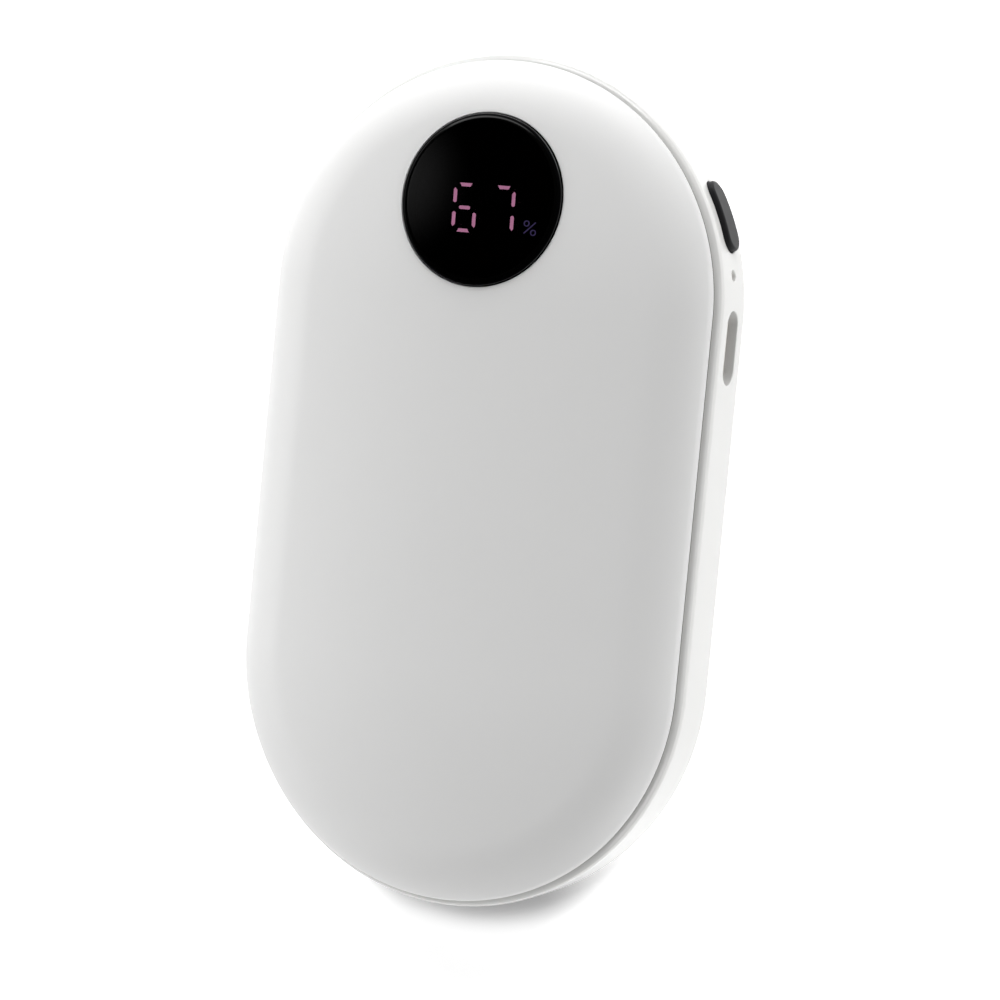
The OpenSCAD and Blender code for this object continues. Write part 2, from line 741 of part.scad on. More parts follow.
// Adhesive ring between the window and its ledge
module window_tape() {
  color([0.08, 0.08, 0.08])
  at_window() translate([0, 0, ledge_top]) difference() {
    cylinder(r = window_r - window_fit, h = tape_t);
    translate([0, 0, -over]) cylinder(r = view_r + window_fit, h = tape_t + 2 * over);
  }
}

// Round display block that fills the opening behind the window
module display_block() {
  color([0.05, 0.05, 0.05])
  at_window() translate([0, 0, display_bottom]) cylinder(r = display_r, h = display_t);
}

// Outline of one segment of length l that lies along x, cut at its ends
module segment(l) {
  h = segment_w / 2;
  polygon([[-l / 2, 0], [-l / 2 + h, h], [l / 2 - h, h], [l / 2, 0], [l / 2 - h, -h], [-l / 2 + h, -h]]);
}

// The seven segments of one digit, around its middle
module digit() {
  across = digit_w - segment_w - 2 * segment_gap;
  upright = (digit_h - segment_w) / 2 - 2 * segment_gap;
  for (level = [-1, 0, 1]) translate([0, level * (digit_h - segment_w) / 2]) segment(across);
  for (sx = [-1, 1], sy = [-1, 1])
    translate([sx * (digit_w - segment_w) / 2, sy * (digit_h - segment_w) / 4]) rotate(90) segment(upright);
}

// Two rings and a slanted bar
module percent_sign() {
  ring = percent_size * 0.22;
  for (side = [-1, 1]) translate([-side, side] * percent_size / 4 * 1.1) difference() {
    circle(r = ring);
    circle(r = ring - percent_line);
  }
  rotate(-45) square([percent_line, percent_size * 1.1], center = true);
}

// Light segments of the display
module display_segments() {
  color([0.75, 0.47, 0.58])
  at_window() translate([0, 0, display_top]) linear_extrude(segment_h) {
    for (side = [-1, 1]) translate([digits_right + side * digit_pitch / 2, -digits_down]) digit();
    translate(percent_at) percent_sign();
  }
}

// Small round board behind the display
module display_board() {
  color("darkgreen")
  at_window() difference() {
    translate([0, 0, display_board_bottom]) cylinder(r = display_board_r, h = display_board_t);
    at_posts(display_board_bottom - over)
      cylinder(d = small_screw_d + 2 * screw_fit, h = display_board_t + 2 * over);
  }
}

// A screw that points up, its head's bearing face at z = 0, with a cross in the head
module screw(d, l, hd, hh) {
  arm = hd / 2;
  slot = d / 4;
  cylinder(d = d, h = l);
  difference() {
    translate([0, 0, -hh]) cylinder(d = hd, h = hh);
    for (a = [0, 90]) rotate([0, 0, a])
      translate([-arm / 2, -slot / 2, -hh - over]) cube([arm, slot, over + hh / 2]);
  }
}

module display_screws() {
  color("silver")
  at_window() at_posts(display_board_bottom)
    screw(small_screw_d, display_screw_l, small_head_d, small_head_h);
}

// Flat cable from under the display board straight down to the main board
module display_ribbon() {
  w = display_board_bottom - ribbon_t / 2;
  path = [window_point(-display_r / 2, w), window_point(-display_r, w),
    [ribbon_y, board_top + ribbon_connector_size[2]]];
  color("peru") strip_along(path, ribbon_t, ribbon_x, ribbon_w);
}

module ribbon_connector() {
  color("ivory") on_board([ribbon_x, ribbon_y], ribbon_connector_size);
}

// Main board in the window end, with a tab that runs out under the port
module main_board() {
  z = board_top - board_t;
  color("darkgreen")
  difference() {
    union() {
      intersection() {
        oval_plate(end_y, board_x, z, board_top);
        translate([-half_w, board_y, z - over]) cube([case_w, case_l, board_t + 2 * over]);
      }
      translate([0, port_y - port_w / 2, z]) cube([inner_x - skirt_fit - skirt_t, port_w, board_t]);
    }
    at_board_screws(z - over) cylinder(d = screw_d + 2 * screw_fit, h = board_t + 2 * over);
  }
}

module board_screws() {
  color("silver") at_board_screws(board_top) rotate([180, 0, 0])
    screw(screw_d, board_screw_l, head_d, head_h);
}

module tray_screws() {
  color("silver") at_bosses(tray_bottom + screw_sink) screw(screw_d, tray_screw_l, head_d, head_h);
}

module controller_chip() {
  color("black") on_board(controller_at, controller_size);
}

module charger_chip() {
  color("black") on_board(charger_at, charger_size);
}

// Power coil: a square foot with a round wound core on it
module power_coil() {
  foot = [coil_size[0], coil_size[1], coil_size[2] / 3];
  color("dimgray") {
    on_board(coil_at, foot);
    translate([coil_at[0], coil_at[1], board_top]) cylinder(d = coil_size[0] * 0.9, h = coil_size[2]);
  }
}

module board_capacitors() {
  color("tan")
  for (i = [0 : 1], j = [0 : capacitor_rows - 1])
    on_board(capacitor_at + capacitor_pitch * [-i, j], capacitor_size);
}

module battery_connector() {
  at = [battery_connector_x, connector_y + battery_connector_size[1] / 2];
  color("ivory") on_board(at, battery_connector_size);
}

module heater_connector() {
  color("ivory") on_board([0, connector_y + heater_connector_size[1] / 2], heater_connector_size);
}

// Drawn metal shell of the charging port
module port_shell() {
  color("lightsteelblue")
  translate([0, port_y, mid_z]) difference() {
    pill_bar(port_w, port_h, port_back, port_x);
    pill_bar(port_w - 2 * port_sheet, port_h - 2 * port_sheet, port_back - over, port_x + over);
  }
}

// Plastic tongue of the charging port, with the block that closes its back
module port_tongue() {
  tip = port_x - tongue_sunk;
  color("black")
  translate([0, port_y, mid_z]) {
    pill_bar(port_w - 2 * port_sheet, port_h - 2 * port_sheet, port_back, port_back + tongue_block);
    translate([port_back + tongue_block, -tongue_w / 2, -tongue_t / 2])
      cube([tip - port_back - tongue_block, tongue_w, tongue_t]);
  }
}

// Contacts on both faces of the tongue
module port_contacts() {
  tip = port_x - tongue_sunk;
  color("gold")
  translate([tip - contact_l / 2 - contact_t, port_y, mid_z])
    for (face = [-1, 1], i = [0 : contact_count - 1])
      translate([0, (i - (contact_count - 1) / 2) * contact_pitch, face * (tongue_t + contact_t) / 2])
        cube([contact_l, contact_w, contact_t], center = true);
}

// Lamp that shines into the light guide from its place on the board's edge
module charge_lamp() {
  color("ivory")
  on_arc(light_angle, board_top) translate([lamp_x - lamp_l, -lamp_w / 2, 0]) cube([lamp_l, lamp_w, lamp_h]);
}

// Clear light guide with a collar behind the band
module light_guide() {
  color([0.85, 0.82, 0.76])
  on_arc(light_angle, mid_z) rotate([0, 90, 0]) {
    translate([0, 0, lamp_x]) cylinder(d = light_d, h = light_x - lamp_x);
    translate([0, 0, inner_x - light_collar - light_fit])
      cylinder(r = light_d / 2 + light_collar, h = light_collar);
  }
}

// Half outline of the button, from the peg's end out to its rounded face
module button_outline() {
  top = half_w + button_proud;
  edge = button_w / 2 - button_edge_r;
  span([0, flange_x], [flange_h / 2, pad_x]);
  span([0, pad_x], [button_w / 2, top - button_edge_r]);
  span([0, top - button_edge_r], [edge, top]);
  disc_span(edge, button_w / 2, top - button_edge_r, [edge, top - button_edge_r], button_edge_r, $fn);
}

// Power button with the flange that keeps it in the band, its face curved like the band
module power_button() {
  color([0.28, 0.28, 0.29])
  on_arc(button_angle, button_z) intersection() {
    rotate([90, 0, 90]) rotate([0, 0, 90]) oval_sweep((button_l - button_w) / 2) button_outline();
    translate([0, 0, -band_t]) cylinder(r = half_w + button_proud, h = 2 * band_t);
  }
  on_arc(button_angle, mid_z)
    translate([peg_x, -plunger_w / 2, -plunger_h / 2]) cube([peg_l + root, plunger_w, plunger_h]);
}

// Side-pressed switch on the board, with the slot that its plunger slides in
module switch_body() {
  depth = plunger_in + button_travel + plunger_fit;
  color([0.12, 0.12, 0.12])
  on_arc(button_angle, mid_z) difference() {
    translate([switch_x - switch_l, -switch_w / 2, -switch_h / 2]) cube([switch_l, switch_w, switch_h]);
    translate([switch_x - depth, -plunger_w / 2 - plunger_fit, -plunger_h / 2 - plunger_fit])
      cube([depth + over, plunger_w + 2 * plunger_fit, plunger_h + 2 * plunger_fit]);
  }
}

// Plunger between the switch and the button's peg
module switch_plunger() {
  color("ivory")
  on_arc(button_angle, mid_z) translate([switch_x - plunger_in, -plunger_w / 2, -plunger_h / 2])
    cube([plunger_in + plunger_out, plunger_w, plunger_h]);
}

// Flat lithium cell with rounded corners
module battery_cell() {
  color("silver")
  translate([0, battery_y + battery_l / 2, battery_bottom]) linear_extrude(battery_t)
    round_square(battery_w, battery_l, battery_r);
}

// Tape between the battery and the tray
module battery_tape() {
  inset = 2 * battery_r;
  color("khaki")
  translate([-battery_w / 2 + inset, battery_y + inset, tray_top])
    cube([battery_w - 2 * inset, battery_l - 2 * inset, battery_tape_t]);
}

// One battery lead, from the end of the cell to its connector
module battery_lead(side) {
  translate([battery_connector_x + side * lead_pitch / 2, connector_y, lead_z]) rotate([90, 0, 0])
    cylinder(d = lead_d, h = connector_y - battery_end);
}

module battery_lead_red() {
  color("firebrick") battery_lead(1);
}

module battery_lead_black() {
  color([0.1, 0.1, 0.1]) battery_lead(-1);
}

// Sweeps a half profile about the crown's axis: round at the lower end, straight up to an end
module crown_sweep(end) {
  translate([0, -end_y, crown_z]) {
    rotate([0, 0, 180]) rotate_extrude(angle = 180) children();
    mirror([0, 1, 0]) rotate([90, 0, 0]) linear_extrude(end + end_y) {
      children();
      mirror([1, 0]) children();
    }
  }
}

// Half profile of what lies under the crown inside one radius, of half width x, above a height
module crown_profile(x, r, low) {
  intersection() {
    circle(r = r, $fn = crown_fn);
    span([0, low - crown_z], [x, crown_r]);
  }
}

// Half profile of a thin layer under the crown between two radii
module crown_strip(x, r_out, r_in) {
  difference() {
    crown_profile(x, r_out, band_hi);
    circle(r = r_in, $fn = crown_fn);
  }
}

// Aluminium plate under the crown of the front cover
module front_plate() {
  color("lightgray") crown_sweep(plate_end) crown_strip(front_plate_x, front_plate_r, front_film_r);
}

// Heating film under the front plate
module front_heater() {
  color("darkorange")
  crown_sweep(plate_end - film_margin)
    crown_strip(front_plate_x - film_margin, front_film_r, front_foam_r);
}

// Tail of the front heating film, down to its connector
module front_heater_tail() {
  z = crown_z + sqrt(front_foam_r * front_foam_r - pow(tail_x + tail_w / 2, 2)) - tail_t;
  start = min(connector_y, plate_end - film_margin);
  path = [[start, z], [tail_y, z], [tail_y, tail_z], [connector_y, tail_z]];
  color("chocolate") strip_along(path, tail_t, -tail_x, tail_w);
}

// Foam that presses the front film against its plate
module front_foam() {
  x = battery_w / 2 - battery_r;
  inset = 2 * battery_r;
  color("gainsboro")
  intersection() {
    crown_sweep(battery_end) crown_profile(x, front_foam_r, battery_top);
    translate([-x, battery_y + inset, battery_top])
      cube([2 * x, battery_l - 2 * inset, top_z - battery_top]);
  }
}

// Aluminium plate inside the flat of the rear cover
module rear_plate() {
  color("lightgray") oval_plate(end_y, rear_plate_x, cover_wall + paste_t, cover_wall + paste_t + plate_t);
}

// Heating film on the rear plate
module rear_heater() {
  z = cover_wall + paste_t + plate_t;
  color("darkorange") oval_plate(end_y, rear_plate_x - film_margin, z, z + film_t);
}

// Tail of the rear heating film, up through the tray to its connector
module rear_heater_tail() {
  z = cover_wall + paste_t + plate_t + film_t + tail_t / 2;
  path = [[cradle_end - cable_gap, z], [tail_y, z], [tail_y, tail_z], [connector_y, tail_z]];
  color("chocolate") strip_along(path, tail_t, tail_x, tail_w);
}

// Foam that presses the rear film against its plate
module rear_foam() {
  z = cover_wall + paste_t + plate_t + film_t;
  x = rear_plate_x - 2 * film_margin;
  inset = 2 * battery_r;
  color("gainsboro")
  translate([-x, battery_y + inset, z]) cube([2 * x, battery_l - 2 * inset, tray_bottom - z]);
}

// Temperature sensor: a bead against the front film, on two wires that stand on the board
module temperature_sensor() {
  top = crown_z + sqrt(front_foam_r * front_foam_r - pow(bead_x - bead_d / 2, 2)) - bead_fit;
  color("saddlebrown")
  translate([bead_x, bead_y, 0]) {
    translate([0, 0, top - bead_d]) cylinder(d = bead_d, h = bead_d);
    for (side = [-1, 1]) translate([side * bead_wire_d, 0, board_top])
      cylinder(d = bead_wire_d, h = top - bead_d / 2 - board_top);
  }
}

front_cover();
rear_cover();
mid_band();
inner_tray();
display_window();
window_tape();
display_block();
display_segments();
display_board();
display_screws();
display_ribbon();
ribbon_connector();
main_board();
board_screws();
tray_screws();
controller_chip();
charger_chip();
power_coil();
board_capacitors();
battery_connector();
heater_connector();
port_shell();
port_tongue();
port_contacts();
charge_lamp();
light_guide();
power_button();
switch_body();
switch_plunger();
battery_cell();
battery_tape();
battery_lead_red();
battery_lead_black();
front_plate();
front_heater();
front_heater_tail();
front_foam();
rear_plate();
rear_heater();
rear_heater_tail();
rear_foam();
temperature_sensor();
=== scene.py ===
"""Looks for a rechargeable hand warmer: two satin covers on a gloss band, with a round dark window.

The case lies on its rear cover. X runs across it, towards the side with the button and the port,
Y runs along it, towards the end with the window, and Z points out of the front cover. All lengths
are in metres. Each cover and the band is a profile that is carried around the case's spine, which
is the straight line between the middles of its two round ends.
"""

import json
import math

import bmesh
import bpy
import numpy as np
from bpy.props import FloatProperty, FloatVectorProperty, PointerProperty
from bpy.types import Operator, Panel, PropertyGroup
from mathutils import Matrix, Vector


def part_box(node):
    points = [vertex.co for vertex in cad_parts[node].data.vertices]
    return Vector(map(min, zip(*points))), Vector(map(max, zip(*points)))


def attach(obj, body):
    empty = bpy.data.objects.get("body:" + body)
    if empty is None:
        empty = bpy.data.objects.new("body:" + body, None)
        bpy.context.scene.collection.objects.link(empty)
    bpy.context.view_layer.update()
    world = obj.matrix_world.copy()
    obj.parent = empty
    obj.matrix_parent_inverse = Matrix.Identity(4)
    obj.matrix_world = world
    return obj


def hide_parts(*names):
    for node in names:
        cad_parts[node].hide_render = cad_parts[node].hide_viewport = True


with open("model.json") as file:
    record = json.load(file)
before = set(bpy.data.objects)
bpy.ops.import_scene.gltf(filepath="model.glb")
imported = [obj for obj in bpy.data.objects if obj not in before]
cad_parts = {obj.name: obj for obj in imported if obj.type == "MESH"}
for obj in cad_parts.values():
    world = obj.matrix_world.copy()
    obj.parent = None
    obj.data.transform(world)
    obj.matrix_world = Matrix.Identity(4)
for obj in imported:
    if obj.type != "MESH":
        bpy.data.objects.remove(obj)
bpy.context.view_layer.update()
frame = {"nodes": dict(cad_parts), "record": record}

bl_info = {
    "name": "Pocket Hand Warmer",
    "version": (1, 0, 0),
    "blender": (4, 5, 0),
    "location": "View3D > Sidebar > Hand Warmer",
    "description": "Builds the covers, band, window, button and port of a pocket hand warmer",
    "category": "Add Mesh",
}

MM = 0.001

# The case as the frame has it
BAND_LOW, BAND_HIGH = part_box("mid_band")
HALF_WIDTH = BAND_HIGH.x
SPINE = BAND_HIGH.y - HALF_WIDTH
MIDDLE_Z = (BAND_LOW.z + BAND_HIGH.z) / 2
CROWN_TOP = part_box("front_cover")[1].z
PORT_LOW, PORT_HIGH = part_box("port_shell")
PORT_Y = (PORT_LOW.y + PORT_HIGH.y) / 2
BUTTON_Z = (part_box("power_button")[0].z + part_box("power_button")[1].z) / 2

# Largest angle between two faces that still shows as one smooth surface
CREASE = math.radians(35)
# Step along the case's outline, and the coarser one of the front cover
STEP = 0.4 * MM
COVER_STEP = 0.8 * MM


# Sizes and colours


def length(name, description, millimetres):
    """A length property whose default is given in millimetres."""
    given = {"name": name, "description": description, "default": millimetres * MM}
    return FloatProperty(**given, min=0, precision=5, unit="LENGTH")


def turn(name, description, degrees):
    """An angle property whose default is given in degrees."""
    return FloatProperty(name=name, description=description, default=math.radians(degrees), unit="ROTATION")


def colour(name, description, *rgb):
    """A linear colour property."""
    return FloatVectorProperty(name=name, description=description, default=rgb, min=0, max=1, subtype="COLOR")


def amount(name, description, default):
    """A plain number property."""
    return FloatProperty(name=name, description=description, default=default, min=0, precision=3)


class WarmerSizes(PropertyGroup):
    """Sizes of the visible pieces."""

    crown_r: length("Crown radius", "Radius of the shallow crown on the front cover", 150)
    roll_r: length("Roll radius", "Radius of the roll towards the rim of each cover", 12.5)
    rim_r: length("Rim radius", "Radius of the small rounding at the rim of each cover", 1.4)
    rim_h: length("Rim height", "Straight height of the rim under its rounding", 0.3)
    rim_step: length("Rim step", "Step in from the band's face to the rim", 0.9)
    cover_wall: length("Cover wall", "Thickness of the covers", 1.6)
    seam_gap: length("Seam gap", "Open seam between the band and each rim", 0.2)
    # The band's strip under each rim is painted dark as shade for the open seam; this length says how far
    # under the rim that painted shade starts.
    seam_shade_start: length("Seam mark", "How far under the rim the band's dull strip starts", 0.06)
    skirt_t: length("Skirt thickness", "Thickness of the skirt inside the band", 1)
    skirt_h: length("Skirt height", "Depth of the skirt inside the band", 1.2)
    skirt_fit: length("Skirt fit", "Space between the skirt and the band", 0.1)
    band_wall: length("Band wall", "Thickness of the band", 1.9)
    band_edge_r: length("Band edge", "Rounding of the band's outer edges", 1.4)
    window_r: length("Window radius", "Radius of the round window", 11)
    window_t: length("Window thickness", "Thickness of the window", 1.6)
    window_end: length("Window place", "Distance from the window's middle to the end of the case", 19)
    window_lift: length("Window lift", "Height of the window's face over the crown at its middle", 0.12)
    window_round: length("Window rounding", "Width of the rounded edge inside the window's bevel", 0.42)
    window_bevel: length("Window bevel", "Width of the bevel around the window", 0.4)
    window_fit: length("Window fit", "Space around the window", 0.12)
    ledge_w: length("Ledge width", "Width of the ledge under the window", 1.5)
    ledge_t: length("Ledge thickness", "Thickness of the ledge under the window", 1.2)
    tape_t: length("Tape thickness", "Thickness of the adhesive ring under the window", 0.15)
    collar_w: length("Collar width", "Wall of the collar under the window", 1.7)
    hole_edge: length("Hole edge", "Rounding of the edges of the holes", 0.15)
    button_l: length("Button length", "Length of the power button", 9.4)
    button_w: length("Button width", "Width of the power button", 3.8)
    button_proud: length("Button height", "Height of the button over the band", 0.7)
    button_edge: length("Button edge", "Rounding of the button's edge", 0.35)
    button_fit: length("Button fit", "Space around the button", 0.12)
    button_angle: turn("Button place", "Direction of the button from the round end's middle", 24.6)
    light_d: length("Light diameter", "Diameter of the light guide", 1.3)
    light_fit: length("Light fit", "Space around the light guide", 0.06)
    light_sunk: length("Light depth", "Depth of the light guide's face below the band's", 0.3)
    light_angle: turn("Light place", "Direction of the light from the round end's middle", 10.5)
    port_fit: length("Port fit", "Space around the port's shell", 0.2)
    port_sheet: length("Port sheet", "Sheet thickness of the port's shell", 0.3)
    digit_h: length("Digit height", "Height of a digit", 6.26)
    digit_w: length("Digit width", "Width of a digit", 3.28)
    segment_w: length("Segment width", "Width of a segment", 0.44)
    segment_gap: length("Segment gap", "Gap between neighbouring segments", 0.2)
    digit_pitch: length("Digit pitch", "Distance from one digit to the next", 5.3)
    digits_down: length("Digits down", "Middle of the digits below the window's middle", 1.12)
    digits_right: length("Digits right", "Middle of the digits to the right of the window's middle", 0.1)
    middle_cut: length("Middle bar cut", "How much shorter the middle bar is at each of its ends", 0.36)
    digit_lean: amount("Digit lean", "Share of its height by which a digit leans to the left", 0.057)
    bar_cut: length("Bar corner", "Distance from a digit's side to its top and bottom bars", 0.8)
    bar_low: length("Bar start", "Height at which an upright bar starts, from the digit's middle", 0.6)
    bar_high: length("Bar end", "Height at which an upright bar ends, from the digit's middle", 2.46)
    percent_line: length("Percent line", "Width of the percent sign's lines", 0.12)
    percent_ring: length("Percent ring", "Diameter of the percent sign's rings", 0.78)


class WarmerColours(PropertyGroup):
    """Colours of the visible pieces."""

    cover: colour("Covers", "Satin plastic of both covers", 0.80, 0.80, 0.795)
    band: colour("Band", "Gloss plastic of the band", 0.80, 0.80, 0.785)
    # Painted shade: the band's colour is darkened towards the covers, and this is the share of it that is
    # kept there.
    shoulder_shade: amount("Shoulder", "Share of its colour that the band keeps next to the covers", 0.78)
    button: colour("Button", "Satin plastic of the button", 0.014, 0.014, 0.015)
    digits: colour("Digits", "Lit segments of the two digits", 0.58, 0.235, 0.38)
    percent: colour("Percent", "Lit lines of the percent sign", 0.12, 0.09, 0.24)
    floor: colour("Floor", "Plain floor under the case", 0.8, 0.8, 0.8)


class WarmerLight(PropertyGroup):
    """Lamps, world, floor and camera of the stage."""

    zenith: amount("Sky", "Brightness that mirrors see overhead", 0.003)
    fill: amount("Fill", "Even light from near the horizon", 0.62)
    card: amount("Card", "Brightness of the soft card that the window mirrors", 0.39)
    bounce: amount("Bounce", "Share of the floor's colour in the light that it throws back at the case", 0.25)
    floor_glow: amount("Floor glow", "Light that the floor adds at the near end, where it is seen", 0.26)
    camera_distance: length("Camera distance", "Distance from the camera to the case", 420.0)
    camera_azimuth: turn("Camera azimuth", "Turn of the camera from overhead towards +X", 24.2)
    camera_rise: turn("Camera rise", "Turn of the camera from overhead towards +Y", 2.96)
    camera_roll: turn("Camera roll", "Lean of the case in the picture", 5.44)
    camera_lens: amount("Lens", "Focal length on a 36 mm sensor, in millimetres", 116.4)


def sizes():
    return bpy.context.scene.warmer_sizes


def colours():
    return bpy.context.scene.warmer_colours


def lights():
    return bpy.context.scene.warmer_light


# Meshes


def loop_quads(first, second, closed=True):
    """Quads between two rows of vertex numbers of the same length, closed into a ring or open."""
    a, b = np.asarray(first), np.asarray(second)
    if closed:
        return np.stack([a, np.roll(a, -1), np.roll(b, -1), b], axis=1)
    return np.stack([a[:-1], a[1:], b[1:], b[:-1]], axis=1)


def tube_quads(rows, columns, closed_rows=False, start=0):
    """Quads of a grid of rows whose columns close into rings, numbered from start."""
    index = start + np.arange(rows * columns).reshape(rows, columns)
    pairs = [(index[i], index[i + 1]) for i in range(rows - 1)]
    if closed_rows:
        pairs.append((index[-1], index[0]))
    return np.concatenate([loop_quads(a, b) for a, b in pairs])


def signed_volume(points, faces):
    """Sum over the faces' fans of the triple products of their corners, a sixth of it each."""
    total = 0.0
    for face in faces:
        face = np.atleast_2d(np.asarray(face))
        a = points[face[:, 0]]
        for k in range(1, face.shape[1] - 1):
            total += np.einsum("ij,ij->i", a, np.cross(points[face[:, k]], points[face[:, k + 1]])).sum()
    return total / 6


def piece(name, points, faces, slot, replaces=(), shown=None, marks=None, body="case"):
    """A closed mesh from points and lists of faces, turned outwards, smooth up to a crease angle.

    Its finish is the one of its slot, or else marks gives each face's place in the shown finishes.
    """
    points = np.asarray(points, float).reshape(-1, 3)
    if signed_volume(points, faces) < 0:
        faces = [np.atleast_2d(np.asarray(f))[:, ::-1] for f in faces]
    polygons = []
    for block in faces:
        polygons += np.atleast_2d(np.asarray(block)).tolist()
    mesh = bpy.data.meshes.new(name)
    mesh.from_pydata(points.tolist(), [], polygons)
    mesh.polygons.foreach_set("use_smooth", np.ones(len(polygons), bool))
    for one in shown or [slot]:
        mesh.materials.append(finish(one))
    if marks is not None:
        mesh.polygons.foreach_set("material_index", np.asarray(marks, np.int32))
    mesh.validate()
    mesh.set_sharp_from_angle(angle=CREASE)
    mesh.update()
    made = bpy.data.objects.new(name, mesh)
    bpy.context.scene.collection.objects.link(made)
    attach(made, body)
    if replaces:
        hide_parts(*replaces)
    return made


def numbers(rows):
    """Vertex numbers of a grid of rows."""
    return np.arange(rows.shape[0] * rows.shape[1]).reshape(rows.shape[:2])


def capped(rows, last=True):
    """Faces of a grid of rows that close into rings, with a flat cap on its first row and its last."""
    number = numbers(rows)
    caps = [number[0][::-1][None]]
    if last:
        caps.append(number[-1][None])
    return [tube_quads(*number.shape), *caps]


def looped(rows):
    """Faces of a grid of rows that close into rings, whose last row joins the first."""
    return [tube_quads(rows.shape[0], rows.shape[1], closed_rows=True)]


def arc(centre, radius, start, end, count):
    """Points of a circle: the centre plus the radius times cosine and sine of evenly spaced angles."""
    angles = np.radians(np.linspace(start, end, count))
    return np.stack([centre[0] + radius * np.cos(angles), centre[1] + radius * np.sin(angles)], axis=1)


# The case's outline


def outline_places(stops, step=STEP):
    """Places along the case's outline, as lengths on the band's face from the middle of the +X side.

    Every stretch between two neighbouring stops is divided evenly into steps of about the given length.
    """
    parts = []
    for a, b in zip(stops[:-1], stops[1:]):
        parts.append(np.linspace(a, b, max(2, round((b - a) / step)) + 1)[:-1])
    return np.concatenate(parts)


def outline_frame(places):
    """The spine's point and the outward direction at places along the outline.

    On the straight sides the spine's point slides along and the direction is +X or -X. Around the
    ends the spine's point rests at the end's middle, and the direction turns with the place over
    the radius.
    """
    quarter = math.pi * HALF_WIDTH
    lengths = np.array([SPINE, quarter, 2 * SPINE, quarter, SPINE])
    starts = np.concatenate([[0], np.cumsum(lengths)])
    spine_y = np.interp(places, starts, [0, SPINE, SPINE, -SPINE, -SPINE, 0])
    angle = np.interp(places, starts, [0, 0, math.pi, math.pi, 2 * math.pi, 2 * math.pi])
    return spine_y, np.cos(angle), np.sin(angle)


def whole_outline():
    """The stops of the outline: the middle of the +X side and the four ends of the straight sides."""
    half = math.pi * HALF_WIDTH
    return [0, SPINE, SPINE + half, 3 * SPINE + half, 3 * SPINE + 2 * half, 4 * SPINE + 2 * half]


def carried(profile, places):
    """A profile of (distance from the spine, height) carried around the outline, row by row."""
    spine_y, across, along = outline_frame(places)
    distance = profile[:, :1]
    height = np.broadcast_to(profile[:, 1:], (len(profile), len(places)))
    return np.stack([distance * across, spine_y + distance * along, height], axis=2)


def on_end(angle, flat, out, level=MIDDLE_Z):
    """Points of the round window end: out along a direction, across it, and up from a level."""
    c, s = math.cos(angle), math.sin(angle)
    across, up = flat[:, 0], flat[:, 1]
    return np.stack([out * c - across * s, SPINE + out * s + across * c, level + up], axis=1)


def spine_distance(x, y):
    """Distance in plan from the case's spine."""
    return np.hypot(x, y - np.clip(y, -SPINE, SPINE))


# The covers


class CoverShape:
    """The arcs of a cover's outline, as distances from the spine and heights over the band's edge."""

    def __init__(self, rise, crown_r=None):
        s = sizes()
        self.rise = rise
        self.rim = np.array([HALF_WIDTH - s.rim_step - s.rim_r, s.rim_h])
        reach = s.roll_r - s.rim_r
        if crown_r is None:
            drop = rise - s.roll_r
            self.roll = np.array([self.rim[0] - math.sqrt(reach**2 - (self.rim[1] - drop) ** 2), drop])
            self.roll_start = 90.0
            self.crown = None
        else:
            self.crown = np.array([0.0, rise - crown_r])
            far = np.linalg.norm(self.rim - self.crown)
            near = crown_r - s.roll_r
            bend = math.acos((near**2 + far**2 - reach**2) / (2 * near * far))
            direction = math.atan2(self.rim[1] - self.crown[1], self.rim[0]) + bend
            self.roll = self.crown + near * np.array([math.cos(direction), math.sin(direction)])
            self.roll_start = math.degrees(direction)
        self.crown_r = crown_r
        self.roll_end = math.degrees(math.atan2(self.rim[1] - self.roll[1], self.rim[0] - self.roll[0]))

    def height(self, distance, depth=0.0):
        """Height of the surface, or of its offset at a depth: the crown's arc, then the roll's."""
        radius = sizes().roll_r - depth
        roll = self.roll[1] + np.sqrt(np.clip(radius**2 - (distance - self.roll[0]) ** 2, 0, None))
        if self.crown is None:
            return np.where(distance < self.roll[0], self.rise - depth, roll)
        crown_r = self.crown_r - depth
        crown = self.crown[1] + np.sqrt(crown_r**2 - distance**2)
        return np.where(distance < crown_r * math.cos(math.radians(self.roll_start)), crown, roll)

    def edge_profile(self, start):
        """From a distance on the roll, around the rim and the skirt, and back up the inside."""
        s = sizes()
        begin = math.degrees(math.acos((start - self.roll[0]) / s.roll_r))
        wall = s.roll_r - s.cover_wall
        inner_rim = HALF_WIDTH - s.rim_step - s.cover_wall
        inner_begin = math.degrees(math.acos((start - self.roll[0]) / wall))
        inner_end = math.degrees(math.acos((inner_rim - self.roll[0]) / wall))
        rim_x = HALF_WIDTH - s.rim_step
        seat_x = HALF_WIDTH - s.band_edge_r
        skirt_x = HALF_WIDTH - s.band_wall - s.skirt_fit
        skirt_in = skirt_x - s.skirt_t
        skirt_top = self.height(np.array(inner_rim), s.cover_wall)
        small = s.hole_edge / 2
        return np.concatenate([
            arc(self.roll, s.roll_r, begin, self.roll_end, 40)[1:],
            arc(self.rim, s.rim_r, self.roll_end, 0, 24)[1:],
            arc([rim_x - small, s.seam_gap + small], small, 0, -90, 4),
            [[seat_x, s.seam_gap], [seat_x, 0], [skirt_x, 0], [skirt_x, -s.skirt_h]],
            [[skirt_in, -s.skirt_h], [skirt_in, skirt_top]],
            arc(self.roll, wall, inner_end, inner_begin, 24),
        ])


def window_frame():
    """The window's middle on the crown and the window's own axes: across, along and out."""
    s = sizes()
    y = BAND_HIGH.y - s.window_end
    tilt = math.asin((y - SPINE) / s.crown_r)
    middle = np.array([0, y, CROWN_TOP - s.crown_r + s.crown_r * math.cos(tilt)])
    axes = np.array([[1, 0, 0], [0, math.cos(tilt), -math.sin(tilt)], [0, math.sin(tilt), math.cos(tilt)]])
    return middle, axes


